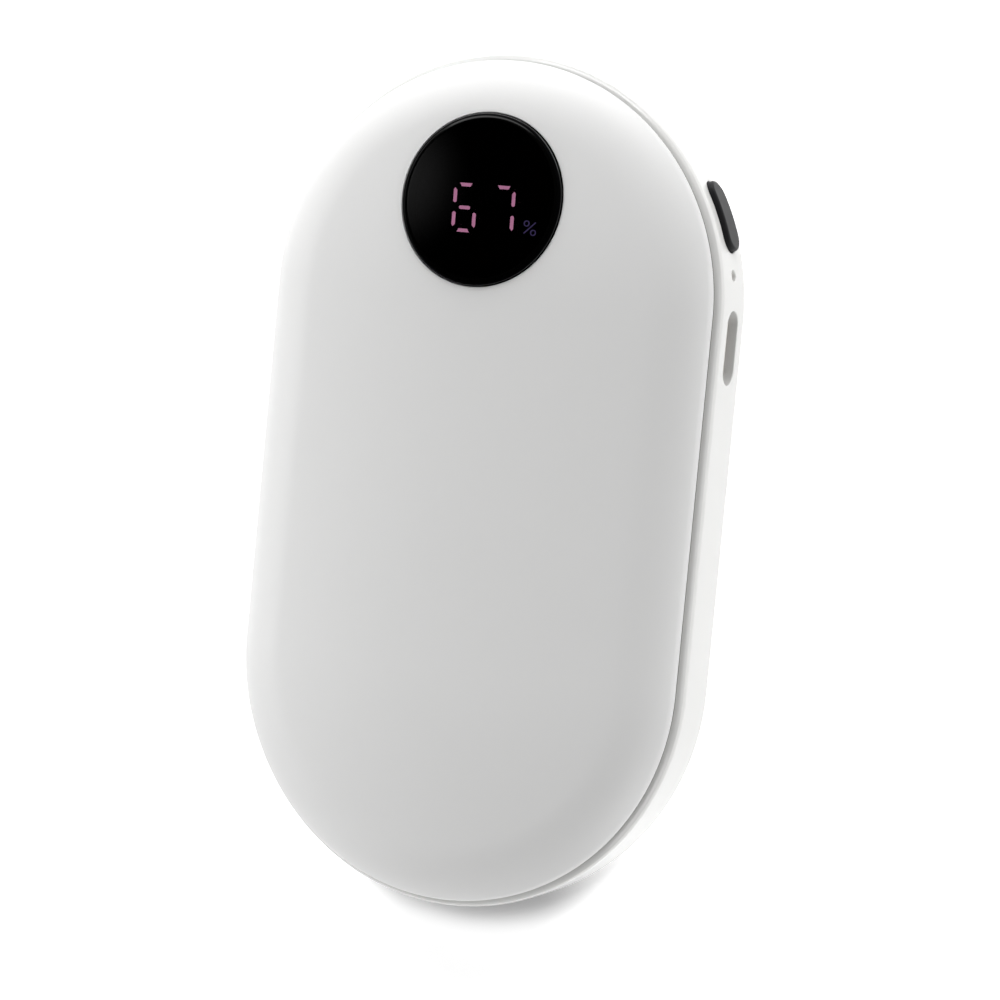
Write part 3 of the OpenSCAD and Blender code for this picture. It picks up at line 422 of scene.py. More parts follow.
def in_window(points):
    """Points of the window's frame, as points of the case: the middle plus each part along its axis."""
    middle, axes = window_frame()
    return middle + np.asarray(points) @ axes


def window_ring(radius, height, angles):
    """A circle about the window's axis at a height over the crown."""
    flat = np.stack([radius * np.cos(angles), radius * np.sin(angles), np.full_like(angles, height)], axis=1)
    return in_window(flat)


def crown_field(shape, base, inner, outer, rows, depth):
    """Rows over the cover from one closed line to another.

    The plan position runs straight from inner to outer, and its height is the cover's height at
    its distance from the spine.
    """
    share = np.linspace(0, 1, rows)[:, None, None]
    plan = inner[None, :, :2] * (1 - share) + outer[None, :, :2] * share
    height = base + shape.height(spine_distance(plan[..., 0], plan[..., 1]), depth)
    return np.concatenate([plan, height[..., None]], axis=2)


def front_shell_rows(places):
    """Rows of the front cover, one closed loop of rows from the window's recess and back.

    The rows run from the recess over the crown, down the roll, around rim and skirt, up the
    inside, and through the window's collar and ledge.
    """
    s = sizes()
    shape = CoverShape(CROWN_TOP - BAND_HIGH.z, s.crown_r)
    roll_share = 0.36
    field_end = shape.roll[0] + s.roll_r * roll_share
    edge = shape.edge_profile(field_end)
    spine_y, across, along = outline_frame(places)
    border = np.stack([field_end * across, spine_y + field_end * along], axis=1)
    window_y = BAND_HIGH.y - s.window_end
    angles = np.arctan2(border[:, 1] - window_y, border[:, 0])
    recess_r = s.window_r + s.window_fit
    collar_r, ledge_r = recess_r + s.collar_w, recess_r - s.ledge_w
    ledge_top = s.window_lift - s.window_t - s.tape_t
    ledge_low = ledge_top - s.ledge_t
    skin = -(recess_r**2) / (2 * s.crown_r)
    rows = [window_ring(recess_r, ledge_top, angles)]
    for lean in np.linspace(0, math.pi / 2, 5)[:-1]:
        radius = recess_r + s.hole_edge * (1 - math.cos(lean))
        rows.append(window_ring(radius, skin - s.hole_edge * (1 - math.sin(lean)), angles))
    hole = window_ring(recess_r + s.hole_edge, 0, angles)
    rows += list(crown_field(shape, BAND_HIGH.z, hole, border, 110, 0))
    rows += list(carried(edge + [0, BAND_HIGH.z], places))
    collar = window_ring(collar_r, 0, angles)
    rows += list(crown_field(shape, BAND_HIGH.z, rows[-1], collar, 40, s.cover_wall))[1:]
    for radius, height in ((collar_r, ledge_low), (ledge_r, ledge_low), (ledge_r, ledge_top)):
        rows.append(window_ring(radius, height, angles))
    return np.array(rows)


class WARMER_OT_front_cover(Operator):
    """Front cover: crown, rolled edge, rim and skirt, with the window's recess"""

    bl_idname = "warmer.front_cover"
    bl_label = "Front Cover"

    def execute(self, context):
        rows = front_shell_rows(outline_places(whole_outline(), COVER_STEP))
        piece("front_shell", rows, looped(rows), "cover_plastic", ["front_cover"])
        return {"FINISHED"}


class WARMER_OT_rear_cover(Operator):
    """Rear cover: flat face, rolled edge, rim and skirt"""

    bl_idname = "warmer.rear_cover"
    bl_label = "Rear Cover"

    def execute(self, context):
        shape = CoverShape(BAND_LOW.z)
        edge = shape.edge_profile(shape.roll[0])
        edge = np.concatenate([[[shape.roll[0], shape.rise]], edge])
        rows = carried(edge * [1, -1] + [0, BAND_LOW.z], outline_places(whole_outline()))
        piece("rear_shell", rows, capped(rows), "cover_plastic", ["rear_cover"])
        return {"FINISHED"}


# The band


def pill_reach(direction, long, wide):
    """Distance from a pill's middle to its edge along unit directions.

    A direction meets the straight side where half the width is reached first, and else the circle
    around the end of the pill's own spine.
    """
    half, radius = (long - wide) / 2, wide / 2
    x, y = np.abs(direction[:, 0]), np.abs(direction[:, 1])
    side = radius / np.maximum(y, 1e-9)
    end = x * half + np.sqrt(np.maximum((x * half) ** 2 - half**2 + radius**2, 0))
    return np.where(side * x <= half, side, end)


class BandHole:
    """A pill-shaped hole through the band, seen along its own axis."""

    def __init__(self, low, high, angle, centre_y, long, wide, level=MIDDLE_Z):
        self.low, self.high = low, high
        self.angle, self.centre_y, self.level = angle, centre_y, level
        self.long, self.wide = long, wide

    def on_wall(self, flat, distance):
        """Points of the hole's own view, pushed along its axis onto the band at a distance from the spine.

        flat holds the place across the axis and the height. On a round end the depth is the root
        of the distance squared less the place squared, and on the straight side it is the distance.
        """
        if self.angle is None:
            y = self.centre_y + flat[:, 0]
            past = np.maximum(y - SPINE, 0)
            x = np.sqrt(distance**2 - past**2)
            return np.stack([x, y, self.level + flat[:, 1]], axis=1)
        return on_end(self.angle, flat, np.sqrt(distance**2 - flat[:, 0] ** 2), self.level)

    def edge(self, away, distance, spread=0.0):
        """The hole's edge on the wall at a distance, widened by a spread, along unit directions."""
        reach = pill_reach(away, self.long + 2 * spread, self.wide + 2 * spread)
        return self.on_wall(away * reach[:, None], distance)

    def middle_place(self):
        """The hole's middle as a place along the outline."""
        return self.centre_y if self.angle is None else SPINE + HALF_WIDTH * self.angle


def place_of(points):
    """Place along the outline of points on the +X side or the window end."""
    past = np.arctan2(np.maximum(points[:, 1] - SPINE, 0), points[:, 0])
    return np.minimum(points[:, 1], SPINE) + HALF_WIDTH * past


def band_holes():
    """The holes of the port, the light and the button, with the stretch of the band around each."""
    s = sizes()
    margin, port_strip, light_strip = 1.3 * MM, 0.3 * MM, 0.2 * MM
    port_l = PORT_HIGH.y - PORT_LOW.y + 2 * s.port_fit
    port_w = PORT_HIGH.z - PORT_LOW.z + 2 * s.port_fit
    light_w = s.light_d + 2 * s.light_fit
    button_l, button_w = s.button_l + 2 * s.button_fit, s.button_w + 2 * s.button_fit
    light, button = SPINE + HALF_WIDTH * s.light_angle, SPINE + HALF_WIDTH * s.button_angle
    port_low, port_high = PORT_Y - port_l / 2 - margin, PORT_Y + port_l / 2
    light_low = (light - light_w / 2 + port_high) / 2
    light_high = (light + light_w / 2 + button - button_l / 2) / 2
    button_low, button_high = light_high + light_strip, button + button_l / 2 + margin
    return [
        BandHole(port_low, light_low - port_strip, None, PORT_Y, port_l, port_w),
        BandHole(light_low, light_high, s.light_angle, 0, light_w, light_w),
        BandHole(button_low, button_high, s.button_angle, 0, button_l, button_w, BUTTON_Z),
    ]


def band_profile(levels):
    """The band's closed section, and the first rows of its outer and of its inner face.

    It runs up the outer face at the given levels, over the upper rounding, down the inner face at
    the same levels and back under the lower rounding. The last value marks the strips under the rims,
    which are given a dark colour as painted shade for the open seam.
    """
    s = sizes()
    edge, inner = HALF_WIDTH - s.band_edge_r, HALF_WIDTH - s.band_wall
    low, high = BAND_LOW.z, BAND_HIGH.z
    outer_face = np.stack([np.full_like(levels, HALF_WIDTH), levels], axis=1)
    inner_face = np.stack([np.full_like(levels, inner), levels[::-1]], axis=1)
    upper = arc([edge, high - s.band_edge_r], s.band_edge_r, 0, 90, 14)[1:]
    lower = arc([edge, low + s.band_edge_r], s.band_edge_r, -90, 0, 14)[:-1]
    # Strips of the band under the rims get the seam_shade finish: a dark colour painted on as the shade of
    # the open seam.
    under_rim = HALF_WIDTH - s.rim_step - s.seam_shade_start
    for part in (upper, lower):
        near = np.argmin(abs(part[:, 0] - under_rim))
        part[near, 0] = under_rim
        side = -1 if part is lower else 1
        middle = high - s.band_edge_r if side > 0 else low + s.band_edge_r
        part[near, 1] = middle + side * math.sqrt(s.band_edge_r**2 - (under_rim - edge) ** 2)
    parts = [outer_face, upper, [[inner, high]], inner_face, [[inner, low]], lower]
    profile = np.concatenate(parts)
    following = np.roll(profile, -1, axis=0)
    painted_shade_strips = (profile[:, 0] <= under_rim + 1e-9) & (following[:, 0] <= under_rim + 1e-9)
    return profile, 0, len(outer_face) + len(upper) + 1, painted_shade_strips


def hole_rings(hole, places, levels, distance, spread):
    """Rings on the wall from the border of a block of the grid to a hole, in the unrolled band.

    Each border node looks at the hole's middle, and the rings divide the straight line from the
    node to the hole's edge, in places along the outline and in levels.
    """
    steps, crowding = 8, 0.8
    away = np.stack([places - hole.middle_place(), levels - hole.level], axis=1)
    away /= np.linalg.norm(away, axis=1)[:, None]
    edge = hole.edge(away, distance, spread)
    edge_place, edge_level = place_of(edge), edge[:, 2]
    rings = []
    for share in np.linspace(0, 1, steps)[1:-1] ** crowding:
        at = places * (1 - share) + edge_place * share
        level = levels * (1 - share) + edge_level * share
        spine_y, across, along = outline_frame(at)
        rings.append(np.stack([distance * across, spine_y + distance * along, level], axis=1))
    return rings + [edge], away


def rounded_edge(hole, away):
    """Rings around a hole's outer edge: a quarter of a circle from the band's face into the hole."""
    radius = sizes().hole_edge
    rings = []
    for lean in np.linspace(0, math.pi / 2, 5)[1:]:
        spread, sunk = radius * (1 - math.sin(lean)), radius * (1 - math.cos(lean))
        rings.append(hole.edge(away, HALF_WIDTH - sunk, spread))
    return rings


class RingedMesh:
    """A mesh that grows from a grid, ring by ring, with the faces between the rings."""

    def __init__(self, grid):
        self.points, self.used, self.faces = [grid], len(grid), []

    def join(self, first, rings):
        """Adds rings after a ring of vertex numbers, and gives back the last one's numbers."""
        for ring in rings:
            following = self.used + np.arange(len(ring))
            self.faces.append(loop_quads(first, following))
            self.points.append(ring)
            self.used += len(ring)
            first = following
        return first


def by_direction(ring, away):
    """A ring's vertex numbers in the order of their directions from the hole's middle."""
    return ring[np.argsort(np.arctan2(away[:, 1], away[:, 0]))]


def band_mesh():
    """Points and faces of the band: a carried section with a ringed hole in each block around a hole.

    A hole's outer and inner ring run opposite ways, so the wall between them is joined by direction.
    """
    s = sizes()
    flat_low, flat_high = BAND_LOW.z + s.band_edge_r, BAND_HIGH.z - s.band_edge_r
    levels = np.linspace(flat_low, flat_high, 18)
    profile, outer_row, inner_row, painted_shade_strips = band_profile(levels)
    holes = band_holes()
    stops = sorted(set(whole_outline()) | {h.low for h in holes} | {h.high for h in holes})
    places = outline_places(stops)
    grid = carried(profile, places)
    number = numbers(grid)
    columns = number.shape[1]
    keep = np.ones(number.shape, bool)
    flat = grid.reshape(-1, 3)
    wall = RingedMesh(flat)
    last = len(levels) - 1
    for hole in holes:
        a, b = np.searchsorted(places, hole.low - 1e-9), np.searchsorted(places, hole.high - 1e-9)
        borders = []
        for first in (outer_row, inner_row):
            keep[first : first + last, a:b] = False
            block = number[first : first + last + 1, a : b + 1]
            sides = [block[0, :-1], block[:-1, -1], block[-1, :0:-1], block[:0:-1, 0]]
            borders.append(np.concatenate(sides))
        outer, inner = borders
        rings, away = hole_rings(hole, places[outer % columns], flat[outer, 2], HALF_WIDTH, s.hole_edge)
        outer_edge = wall.join(outer, rings)
        inner_face = HALF_WIDTH - s.band_wall
        rings, inner_away = hole_rings(hole, places[inner % columns], flat[inner, 2], inner_face, 0)
        inner_edge = wall.join(inner, rings)
        outer_edge = wall.join(outer_edge, rounded_edge(hole, away))
        wall.faces.append(loop_quads(by_direction(outer_edge, away), by_direction(inner_edge, inner_away)))
    below = np.roll(number, -1, axis=0)
    quads = np.stack([number, np.roll(number, -1, axis=1), np.roll(below, -1, axis=1), below], axis=2)
    marks = np.broadcast_to(painted_shade_strips[:, None], number.shape)[keep].astype(int)
    marks = np.concatenate([marks, np.zeros(sum(len(block) for block in wall.faces), int)])
    return np.concatenate(wall.points), [quads[keep], *wall.faces], marks


class WARMER_OT_band(Operator):
    """Gloss band with rounded edges and the holes of the button, the light and the port"""

    bl_idname = "warmer.band"
    bl_label = "Band"

    def execute(self, context):
        points, faces, marks = band_mesh()
        # The strips under the rims show seam_shade, a dark colour painted on as the shade of the open seam.
        shown = ["band_plastic", "seam_shade"]
        piece("gloss_band", points, faces, "band_plastic", ["mid_band"], shown, marks)
        return {"FINISHED"}


# The window and the display


def turned_rows(profile, count):
    """A profile of (radius, height) turned about the window's axis."""
    angles = np.linspace(0, 2 * math.pi, count, endpoint=False)
    return np.array([window_ring(r, h, angles) for r, h in profile])


class WARMER_OT_window(Operator):
    """Smoked window with a rounded bevel and a black printed border, on its adhesive ring"""

    bl_idname = "warmer.window"
    bl_label = "Window"

    def execute(self, context):
        s = sizes()
        top, low = s.window_lift, s.window_lift - s.window_t
        slope_angle, corner_share, middle_share, rest = 28, 0.5, 0.5, 0.2 * MM
        lean, corner_r = math.radians(slope_angle), corner_share * s.window_bevel
        start = s.window_r - s.window_bevel - s.window_round
        round_r = s.window_round / math.sin(lean)
        corner = s.window_r - corner_r
        slope = start + round_r * math.sin(lean)
        drop = round_r * (1 - math.cos(lean))
        drop += (corner + corner_r * math.sin(lean) - slope) * math.tan(lean)
        soft = arc([start, top - round_r], round_r, 90, 90 - slope_angle, 12)
        outer = arc([corner, top - drop - corner_r * math.cos(lean)], corner_r, 90 - slope_angle, 0, 9)
        ledge_r = s.window_r + s.window_fit - s.ledge_w
        inner = ledge_r - 3 * s.window_fit
        flat = [[start * middle_share, top], [start - rest, top]]
        profile = np.concatenate([flat, soft, outer, [[s.window_r, low], [inner, low]]])
        shown = ["window_glass", "border_print", "polished_edge"]
        glass, border, polished = range(len(shown))
        ring_marks = [glass] * 2 + [polished] * (len(soft) - 1) + [border]
        ring_marks += [polished] * (len(outer) - 1) + [border] * 2
        rows = turned_rows(profile, 240)
        marks = np.concatenate([np.repeat(ring_marks, rows.shape[1]), [glass, glass]])
        piece("smoked_window", rows, capped(rows), "window_glass", ["display_window"], shown, marks)
        film = 0.01 * MM
        tape_r, tape_top, tape_low = s.window_r - s.window_fit, low - film, low - s.tape_t
        tape = [[ledge_r, tape_top], [tape_r, tape_top], [tape_r, tape_low], [ledge_r, tape_low]]
        rows = turned_rows(tape, 180)
        piece("border_ring", rows, looped(rows), "adhesive", ["window_tape"], ["border_print"])
        return {"FINISHED"}


def digit_bars():
    """Outlines of a digit's seven bars about its middle, as flat points.

    Bars at the top and the bottom are wider outside than inside, the middle bar has cut corners,
    and the upright bars are slanted towards the corners and rounded towards the middle.
    """
    s = sizes()
    wide, tall, line, gap = s.digit_w / 2, s.digit_h / 2, s.segment_w, s.segment_gap
    taper, cut, tip = line * 0.55, line * 0.3, line * 0.4
    inner_cut, outer_cut = line * 0.7, line * 0.5
    outer, inner = wide - s.bar_cut, wide - s.bar_cut - taper
    top = np.array([[-outer, tall], [outer, tall], [inner, tall - line], [-inner, tall - line]])
    half = wide - line - gap / 2 - s.middle_cut
    middle = np.array([[-half, cut], [cut - half, line / 2], [half - cut, line / 2], [half, cut]])
    middle = np.concatenate([middle, middle[::-1] * [1, -1]])
    low, high = s.bar_low, s.bar_high
    upright = np.array([
        [0, low + cut], [cut, low], [line - cut, low], [line, low + cut],
        [line, high - inner_cut], [tip, high], [0, high - outer_cut],
    ])
    left = upright - [wide, 0]
    bars = {
        "top": top,
        "middle": middle,
        "low": top * [1, -1],
        "upper_left": left,
        "upper_right": left * [-1, 1],
        "lower_left": left * [1, -1],
        "lower_right": left * [-1, -1],
    }
    slant = np.array([[1, 0], [-s.digit_lean, 1]])
    return {name: bar @ slant for name, bar in bars.items()}


def segment_outlines():
    """Outlines of the lit bars of a 6 and a 7 in the window's frame."""
    s = sizes()
    bars = digit_bars()
    six = ["top", "middle", "low", "upper_left", "lower_left", "lower_right"]
    seven = ["top", "upper_right", "lower_right"]
    place = np.array([s.digits_right, -s.digits_down])
    step = np.array([s.digit_pitch / 2, 0])
    return [bars[n] + place - step for n in six] + [bars[n] + place + step for n in seven]


def flat_prisms(outlines, low, high):
    """Points and faces of thin prisms over flat outlines in the window's frame."""
    points, faces, used = [], [], 0
    for outline in outlines:
        count = len(outline)
        for level in (low, high):
            points.append(in_window(np.column_stack([outline, np.full(count, level)])))
        a, b = used + np.arange(count), used + count + np.arange(count)
        faces += [loop_quads(a, b), a[::-1][None], b[None]]
        used += 2 * count
    return np.concatenate(points), faces


def ring_prism(centre, outer, inner, low, high, count=40):
    """A flat ring in the window's frame: four circles, closed row to row."""
    angles = np.linspace(0, 2 * math.pi, count, endpoint=False)
    around = np.stack([np.cos(angles), np.sin(angles)], axis=1)
    rows = []
    for radius, level in ((outer, low), (outer, high), (inner, high), (inner, low)):
        rows.append(in_window(np.column_stack([centre + radius * around, np.full(count, level)])))
    return np.array(rows)


# Middles of the percent sign's rings and ends of its slash in the window's frame, in millimetres
PERCENT_RINGS = [(6.30, -2.51), (7.33, -3.62)]
PERCENT_SLASH = [(6.05, -3.79), (7.52, -2.31)]


class WARMER_OT_display(Operator):
    """Lit segments behind the window: two digits and a percent sign"""

    bl_idname = "warmer.display"
    bl_label = "Display"

    def execute(self, context):
        s = sizes()
        behind, thick = 0.25 * MM, 0.1 * MM
        low = s.window_lift - s.window_t - behind
        high = low + thick
        points, faces = flat_prisms(segment_outlines(), low, high)
        piece("lit_digits", points, faces, "segment_light", ["display_segments"])
        line, ring_r = s.percent_line, s.percent_ring / 2
        points, faces, used = [], [], 0
        for centre in PERCENT_RINGS:
            rows = ring_prism(np.array(centre) * MM, ring_r, ring_r - line, low, high)
            points.append(rows.reshape(-1, 3))
            faces.append(tube_quads(4, rows.shape[1], closed_rows=True, start=used))
            used += rows.shape[0] * rows.shape[1]
        start, end = np.array(PERCENT_SLASH) * MM
        along = (end - start) / np.linalg.norm(end - start)
        across = np.array([-along[1], along[0]]) * line / 2
        slash = np.array([start - across, end - across, end + across, start + across])
        slash_points, slash_faces = flat_prisms([slash], low, high)
        points.append(slash_points)
        faces += [face + used for face in slash_faces]
        piece("lit_percent", np.concatenate(points), faces, "segment_light", shown=["percent_light"])
        return {"FINISHED"}


# The button, the light and the port


def pill_ring(long, wide, count_end, count_side):
    """Points and unit directions around a pill's outline, as (across, height)."""
    half, radius = (long - wide) / 2, wide / 2
    angles = np.linspace(-math.pi / 2, math.pi / 2, count_end)
    right = np.stack([half + radius * np.cos(angles), radius * np.sin(angles)], axis=1)
    side = np.stack([np.linspace(half, -half, count_side)[1:-1], np.full(count_side - 2, radius)], axis=1)
    points = np.concatenate([right, side, -right, -side])
    spine = np.stack([np.clip(points[:, 0], -half, half), np.zeros(len(points))], axis=1)
    return spine, (points - spine) / radius


def button_rows():
    """Rows of the button, from the back of its flange to the middle line of its face.

    Every row is the pill drawn in by a distance. Its height follows a circle about the end's
    middle, less the drop of the rounded edge: the edge's radius less the root of the radius squared
    less the squared rest of the distance.
    """
    s = sizes()
    spine, away = pill_ring(s.button_l, s.button_w, count_end=24, count_side=30)
    face_r, edge, half = HALF_WIDTH + s.button_proud, s.button_edge, s.button_w / 2
    flange, flange_t, hub_share, travel_room = 0.9 * MM, 0.8 * MM, 0.3, 1.2 * MM
    front = HALF_WIDTH - s.band_wall - travel_room
    back = front - flange_t
    rows = []
    for wide, out in ((hub_share * half, back), (half + flange, back), (half + flange, front), (half, front)):
        rows.append(on_end(s.button_angle, spine + away * wide, np.full(len(spine), out), BUTTON_Z))
    rounded = edge * (1 - np.cos(np.linspace(0, math.pi / 2, 9)))
    for drawn_in in np.concatenate([rounded, np.linspace(edge, half, 10)[1:]]):
        flat = spine + away * (half - drawn_in)
        drop = edge - math.sqrt(edge**2 - max(edge - drawn_in, 0) ** 2)
        out = np.sqrt(face_r**2 - flat[:, 0] ** 2) - drop
        rows.append(on_end(s.button_angle, flat, out, BUTTON_Z))
    return np.array(rows)


class WARMER_OT_button(Operator):
    """Power button: a curved face with a rounded edge, and its flange behind the band"""

    bl_idname = "warmer.button"
    bl_label = "Power Button"

    def execute(self, context):
        rows = button_rows()
        faces = capped(rows, last=False)
        made = piece("button_cap", rows, faces, "button_plastic", ["power_button"], body="button")
        close_seams(made)
        return {"FINISHED"}


def close_seams(made):
    """Merges the vertices that lie on each other, such as both sides of a pill's middle line."""
    work = bmesh.new()
    work.from_mesh(made.data)
    bmesh.ops.remove_doubles(work, verts=work.verts, dist=1e-7)
    bmesh.ops.dissolve_degenerate(work, edges=work.edges, dist=1e-8)
    work.to_mesh(made.data)
    work.free()
    made.data.set_sharp_from_angle(angle=CREASE)


class WARMER_OT_charge_light(Operator):
    """Charge light: the domed end of a light guide in its hole"""

    bl_idname = "warmer.charge_light"
    bl_label = "Charge Light"

    def execute(self, context):
        s = sizes()
        radius, face = s.light_d / 2, HALF_WIDTH - s.light_sunk
        count, smallest, dome, inset = 48, 0.04, 0.12 * MM, 0.3 * MM
        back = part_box("light_guide")[0].x / math.cos(s.light_angle) + inset
        share = np.linspace(1, smallest, 10)
        profile = [[radius, back], [radius, face - dome]]
        profile += [[radius * v, face - dome * v * v] for v in share]
        angles = np.linspace(0, 2 * math.pi, count, endpoint=False)
        around = np.stack([np.cos(angles), np.sin(angles)], axis=1)
        rows = np.array([on_end(s.light_angle, r * around, np.full(count, out)) for r, out in profile])
        piece("guide_end", rows, capped(rows), "guide_plastic", ["light_guide"])
        return {"FINISHED"}


class WARMER_OT_port(Operator):
    """Charging port: a drawn shell with rounded lips"""

    bl_idname = "warmer.port"
    bl_label = "Charging Port"

    def execute(self, context):
        long, wide = PORT_HIGH.y - PORT_LOW.y, PORT_HIGH.z - PORT_LOW.z
        mouth, back, sheet = PORT_HIGH.x, PORT_LOW.x, sizes().port_sheet
        spine, away = pill_ring(long, wide, count_end=24, count_side=20)
        half, lip = wide / 2, sheet / 2
        rounded = arc([half - lip, mouth - lip], lip, 0, 180, 9)
        rows = []
        for reach, x in [[half, back], *rounded, [half - sheet, back]]:
            flat = spine + away * reach
            rows.append(np.column_stack([np.full(len(flat), x), PORT_Y + flat[:, 0], MIDDLE_Z + flat[:, 1]]))
        rows = np.array(rows)
        piece("drawn_shell", rows, looped(rows), "port_steel", ["port_shell"])
        return {"FINISHED"}


# Shader groups


def new_group(name, inputs, outputs):
    """A shader node group with named inputs and outputs, or the one that was made before."""
    found = bpy.data.node_groups.get(name)
    if found:
        return found, None, None
    group = bpy.data.node_groups.new(name, "ShaderNodeTree")
    for label, kind, default in inputs:
        socket = group.interface.new_socket(name=label, in_out="INPUT", socket_type=kind)
        socket.default_value = default
    for label, kind in outputs:
        group.interface.new_socket(name=label, in_out="OUTPUT", socket_type=kind)
    return group, group.nodes.new("NodeGroupInput"), group.nodes.new("NodeGroupOutput")


def noise(tree, coordinates, scale, detail, rough=0.5):
    """A noise texture on given coordinates. The scale is a number or a socket."""
    node = tree.nodes.new("ShaderNodeTexNoise")
    node.inputs["Detail"].default_value = detail
    node.inputs["Roughness"].default_value = rough
    tree.links.new(coordinates, node.inputs["Vector"])
    if isinstance(scale, (int, float)):
        node.inputs["Scale"].default_value = scale
    else:
        tree.links.new(scale, node.inputs["Scale"])
    return node.outputs["Fac"]


def calculate(tree, operation, a, b=None, c=None):
    """A math node on numbers or sockets."""
    node = tree.nodes.new("ShaderNodeMath")
    node.operation = operation
    for socket, value in zip(node.inputs, (a, b, c)):
        if value is None:
            continue
        if isinstance(value, (int, float)):
            socket.default_value = value
        else:
            tree.links.new(value, socket)
    return node.outputs[0]


def object_place(tree):
    """Object coordinates, in metres from the case's origin."""
    return tree.nodes.new("ShaderNodeTexCoord").outputs["Object"]


def scaled(tree, colour, factor):
    """A colour times a number."""
    node = tree.nodes.new("ShaderNodeVectorMath")
    node.operation = "SCALE"
    tree.links.new(colour, node.inputs[0])
    tree.links.new(factor, node.inputs["Scale"])
    return node.outputs[0]


def distance_from(tree, place, point):
    """Distance of a place from a fixed point."""
    node = tree.nodes.new("ShaderNodeVectorMath")
    node.operation = "DISTANCE"
    tree.links.new(place, node.inputs[0])
    node.inputs[1].default_value = point
    return node.outputs["Value"]


def split_axes(tree, place):
    """The X, Y and Z of a place."""
    node = tree.nodes.new("ShaderNodeSeparateXYZ")
    tree.links.new(place, node.inputs[0])
    return node.outputs


def mixed(tree, factor, first, second):
    """A colour between two colours, by a factor."""
    node = tree.nodes.new("ShaderNodeMix")
    node.data_type = "RGBA"
    tree.links.new(factor, node.inputs["Factor"])
    node.inputs["A"].default_value = (*first, 1)
    node.inputs["B"].default_value = (*second, 1)
    return node.outputs["Result"]


def fall(tree, value, start, end, first, last):
    """A number that goes smoothly from first to last as a value goes from start to end."""
    node = tree.nodes.new("ShaderNodeMapRange")
    node.interpolation_type = "SMOOTHSTEP"
    for label, number in (("From Min", start), ("From Max", end), ("To Min", first), ("To Max", last)):
        node.inputs[label].default_value = number
    tree.links.new(value, node.inputs["Value"])
    return node.outputs["Result"]


def surface_group():
    """Moulded, painted or rolled surface: slow tone patches, roughness patches and a fine grain.

    The tone multiplies the colour by one plus or minus the variation, the roughness swings about
    its middle, and the height is a fine noise.
    """
    inputs = [
        ("Color", "NodeSocketColor", (0.8, 0.8, 0.8, 1)),
        ("Variation", "NodeSocketFloat", 0.02),
        ("Patch Scale", "NodeSocketFloat", 60.0),
        ("Roughness", "NodeSocketFloat", 0.4),
        ("Roughness Swing", "NodeSocketFloat", 0.05),
        ("Grain Scale", "NodeSocketFloat", 4000.0),
    ]
    outputs = [("Color", "NodeSocketColor"), ("Roughness", "NodeSocketFloat"), ("Height", "NodeSocketFloat")]
    group, given, result = new_group("moulded_surface", inputs, outputs)
    if given is None:
        return group
    value, place, finer = given.outputs, object_place(group), 3.7

    def swing(noise_value, middle, width):
        """The middle plus or minus the width, as the noise goes from 0 to 1."""
        centred = calculate(group, "SUBTRACT", noise_value, 0.5)
        return calculate(group, "MULTIPLY_ADD", calculate(group, "MULTIPLY", centred, 2), width, middle)

    patches = noise(group, place, value["Patch Scale"], detail=3)
    smudges = noise(group, place, calculate(group, "MULTIPLY", value["Patch Scale"], finer), detail=5)
    grain = noise(group, place, value["Grain Scale"], detail=4, rough=0.6)
    tone = scaled(group, value["Color"], swing(patches, 1, value["Variation"]))
    group.links.new(tone, result.inputs["Color"])
    rough = swing(smudges, value["Roughness"], value["Roughness Swing"])
    group.links.new(rough, result.inputs["Roughness"])
    group.links.new(grain, result.inputs["Height"])
    return group


def streak_group():
    """Drawn or rolled metal: noise stretched along one axis, as a mask, and the same as a height."""
    inputs = [("Length", "NodeSocketVector", (1.0, 1.0, 1.0)), ("Scale", "NodeSocketFloat", 2500.0)]
    outputs = [("Mask", "NodeSocketFloat"), ("Height", "NodeSocketFloat")]
    group, given, result = new_group("rolled_streaks", inputs, outputs)
    if given is None:
        return group
    stretch = group.nodes.new("ShaderNodeVectorMath")
    stretch.operation = "MULTIPLY"
    group.links.new(object_place(group), stretch.inputs[0])
    group.links.new(given.outputs["Length"], stretch.inputs[1])
    streaks = noise(group, stretch.outputs[0], given.outputs["Scale"], detail=3)
    group.links.new(streaks, result.inputs["Mask"])
    group.links.new(streaks, result.inputs["Height"])
    return group


# Finishes


def new_material(name, shown):
    """A node material with a plain colour in the viewport, its node tree and its shader."""
    material = bpy.data.materials.new(name)
    material.use_nodes = True
    material.diffuse_color = (*shown, 1)
    return material, material.node_tree, material.node_tree.nodes["Principled BSDF"]


def add_bump(tree, shader, height, depth):
    """Turns the shader's normal by a height, for a surface whose depth is given in millimetres."""
    bump = tree.nodes.new("ShaderNodeBump")
    bump.inputs["Strength"].default_value = 1.0
    bump.inputs["Distance"].default_value = depth * MM
    tree.links.new(height, bump.inputs["Height"])
    tree.links.new(bump.outputs["Normal"], shader.inputs["Normal"])


def surface(name, base, rough, variation=0.02, swing=0.05, patch=60, grain=4000, depth=0.004, **plain):
    """A material around the moulded surface group. Plain values go straight onto the shader."""
    material, tree, shader = new_material(name, base)
    group = tree.nodes.new("ShaderNodeGroup")
    group.node_tree = surface_group()
    group.inputs["Color"].default_value = (*base, 1)
    given = {"Variation": variation, "Patch Scale": patch, "Grain Scale": grain}
    given |= {"Roughness": rough, "Roughness Swing": swing}
    for label, value in given.items():
        group.inputs[label].default_value = value
    tree.links.new(group.outputs["Color"], shader.inputs["Base Color"])
    tree.links.new(group.outputs["Roughness"], shader.inputs["Roughness"])
    add_bump(tree, shader, group.outputs["Height"], depth)
    for label, value in plain.items():
        shader.inputs[label.replace("_", " ")].default_value = value
    return material


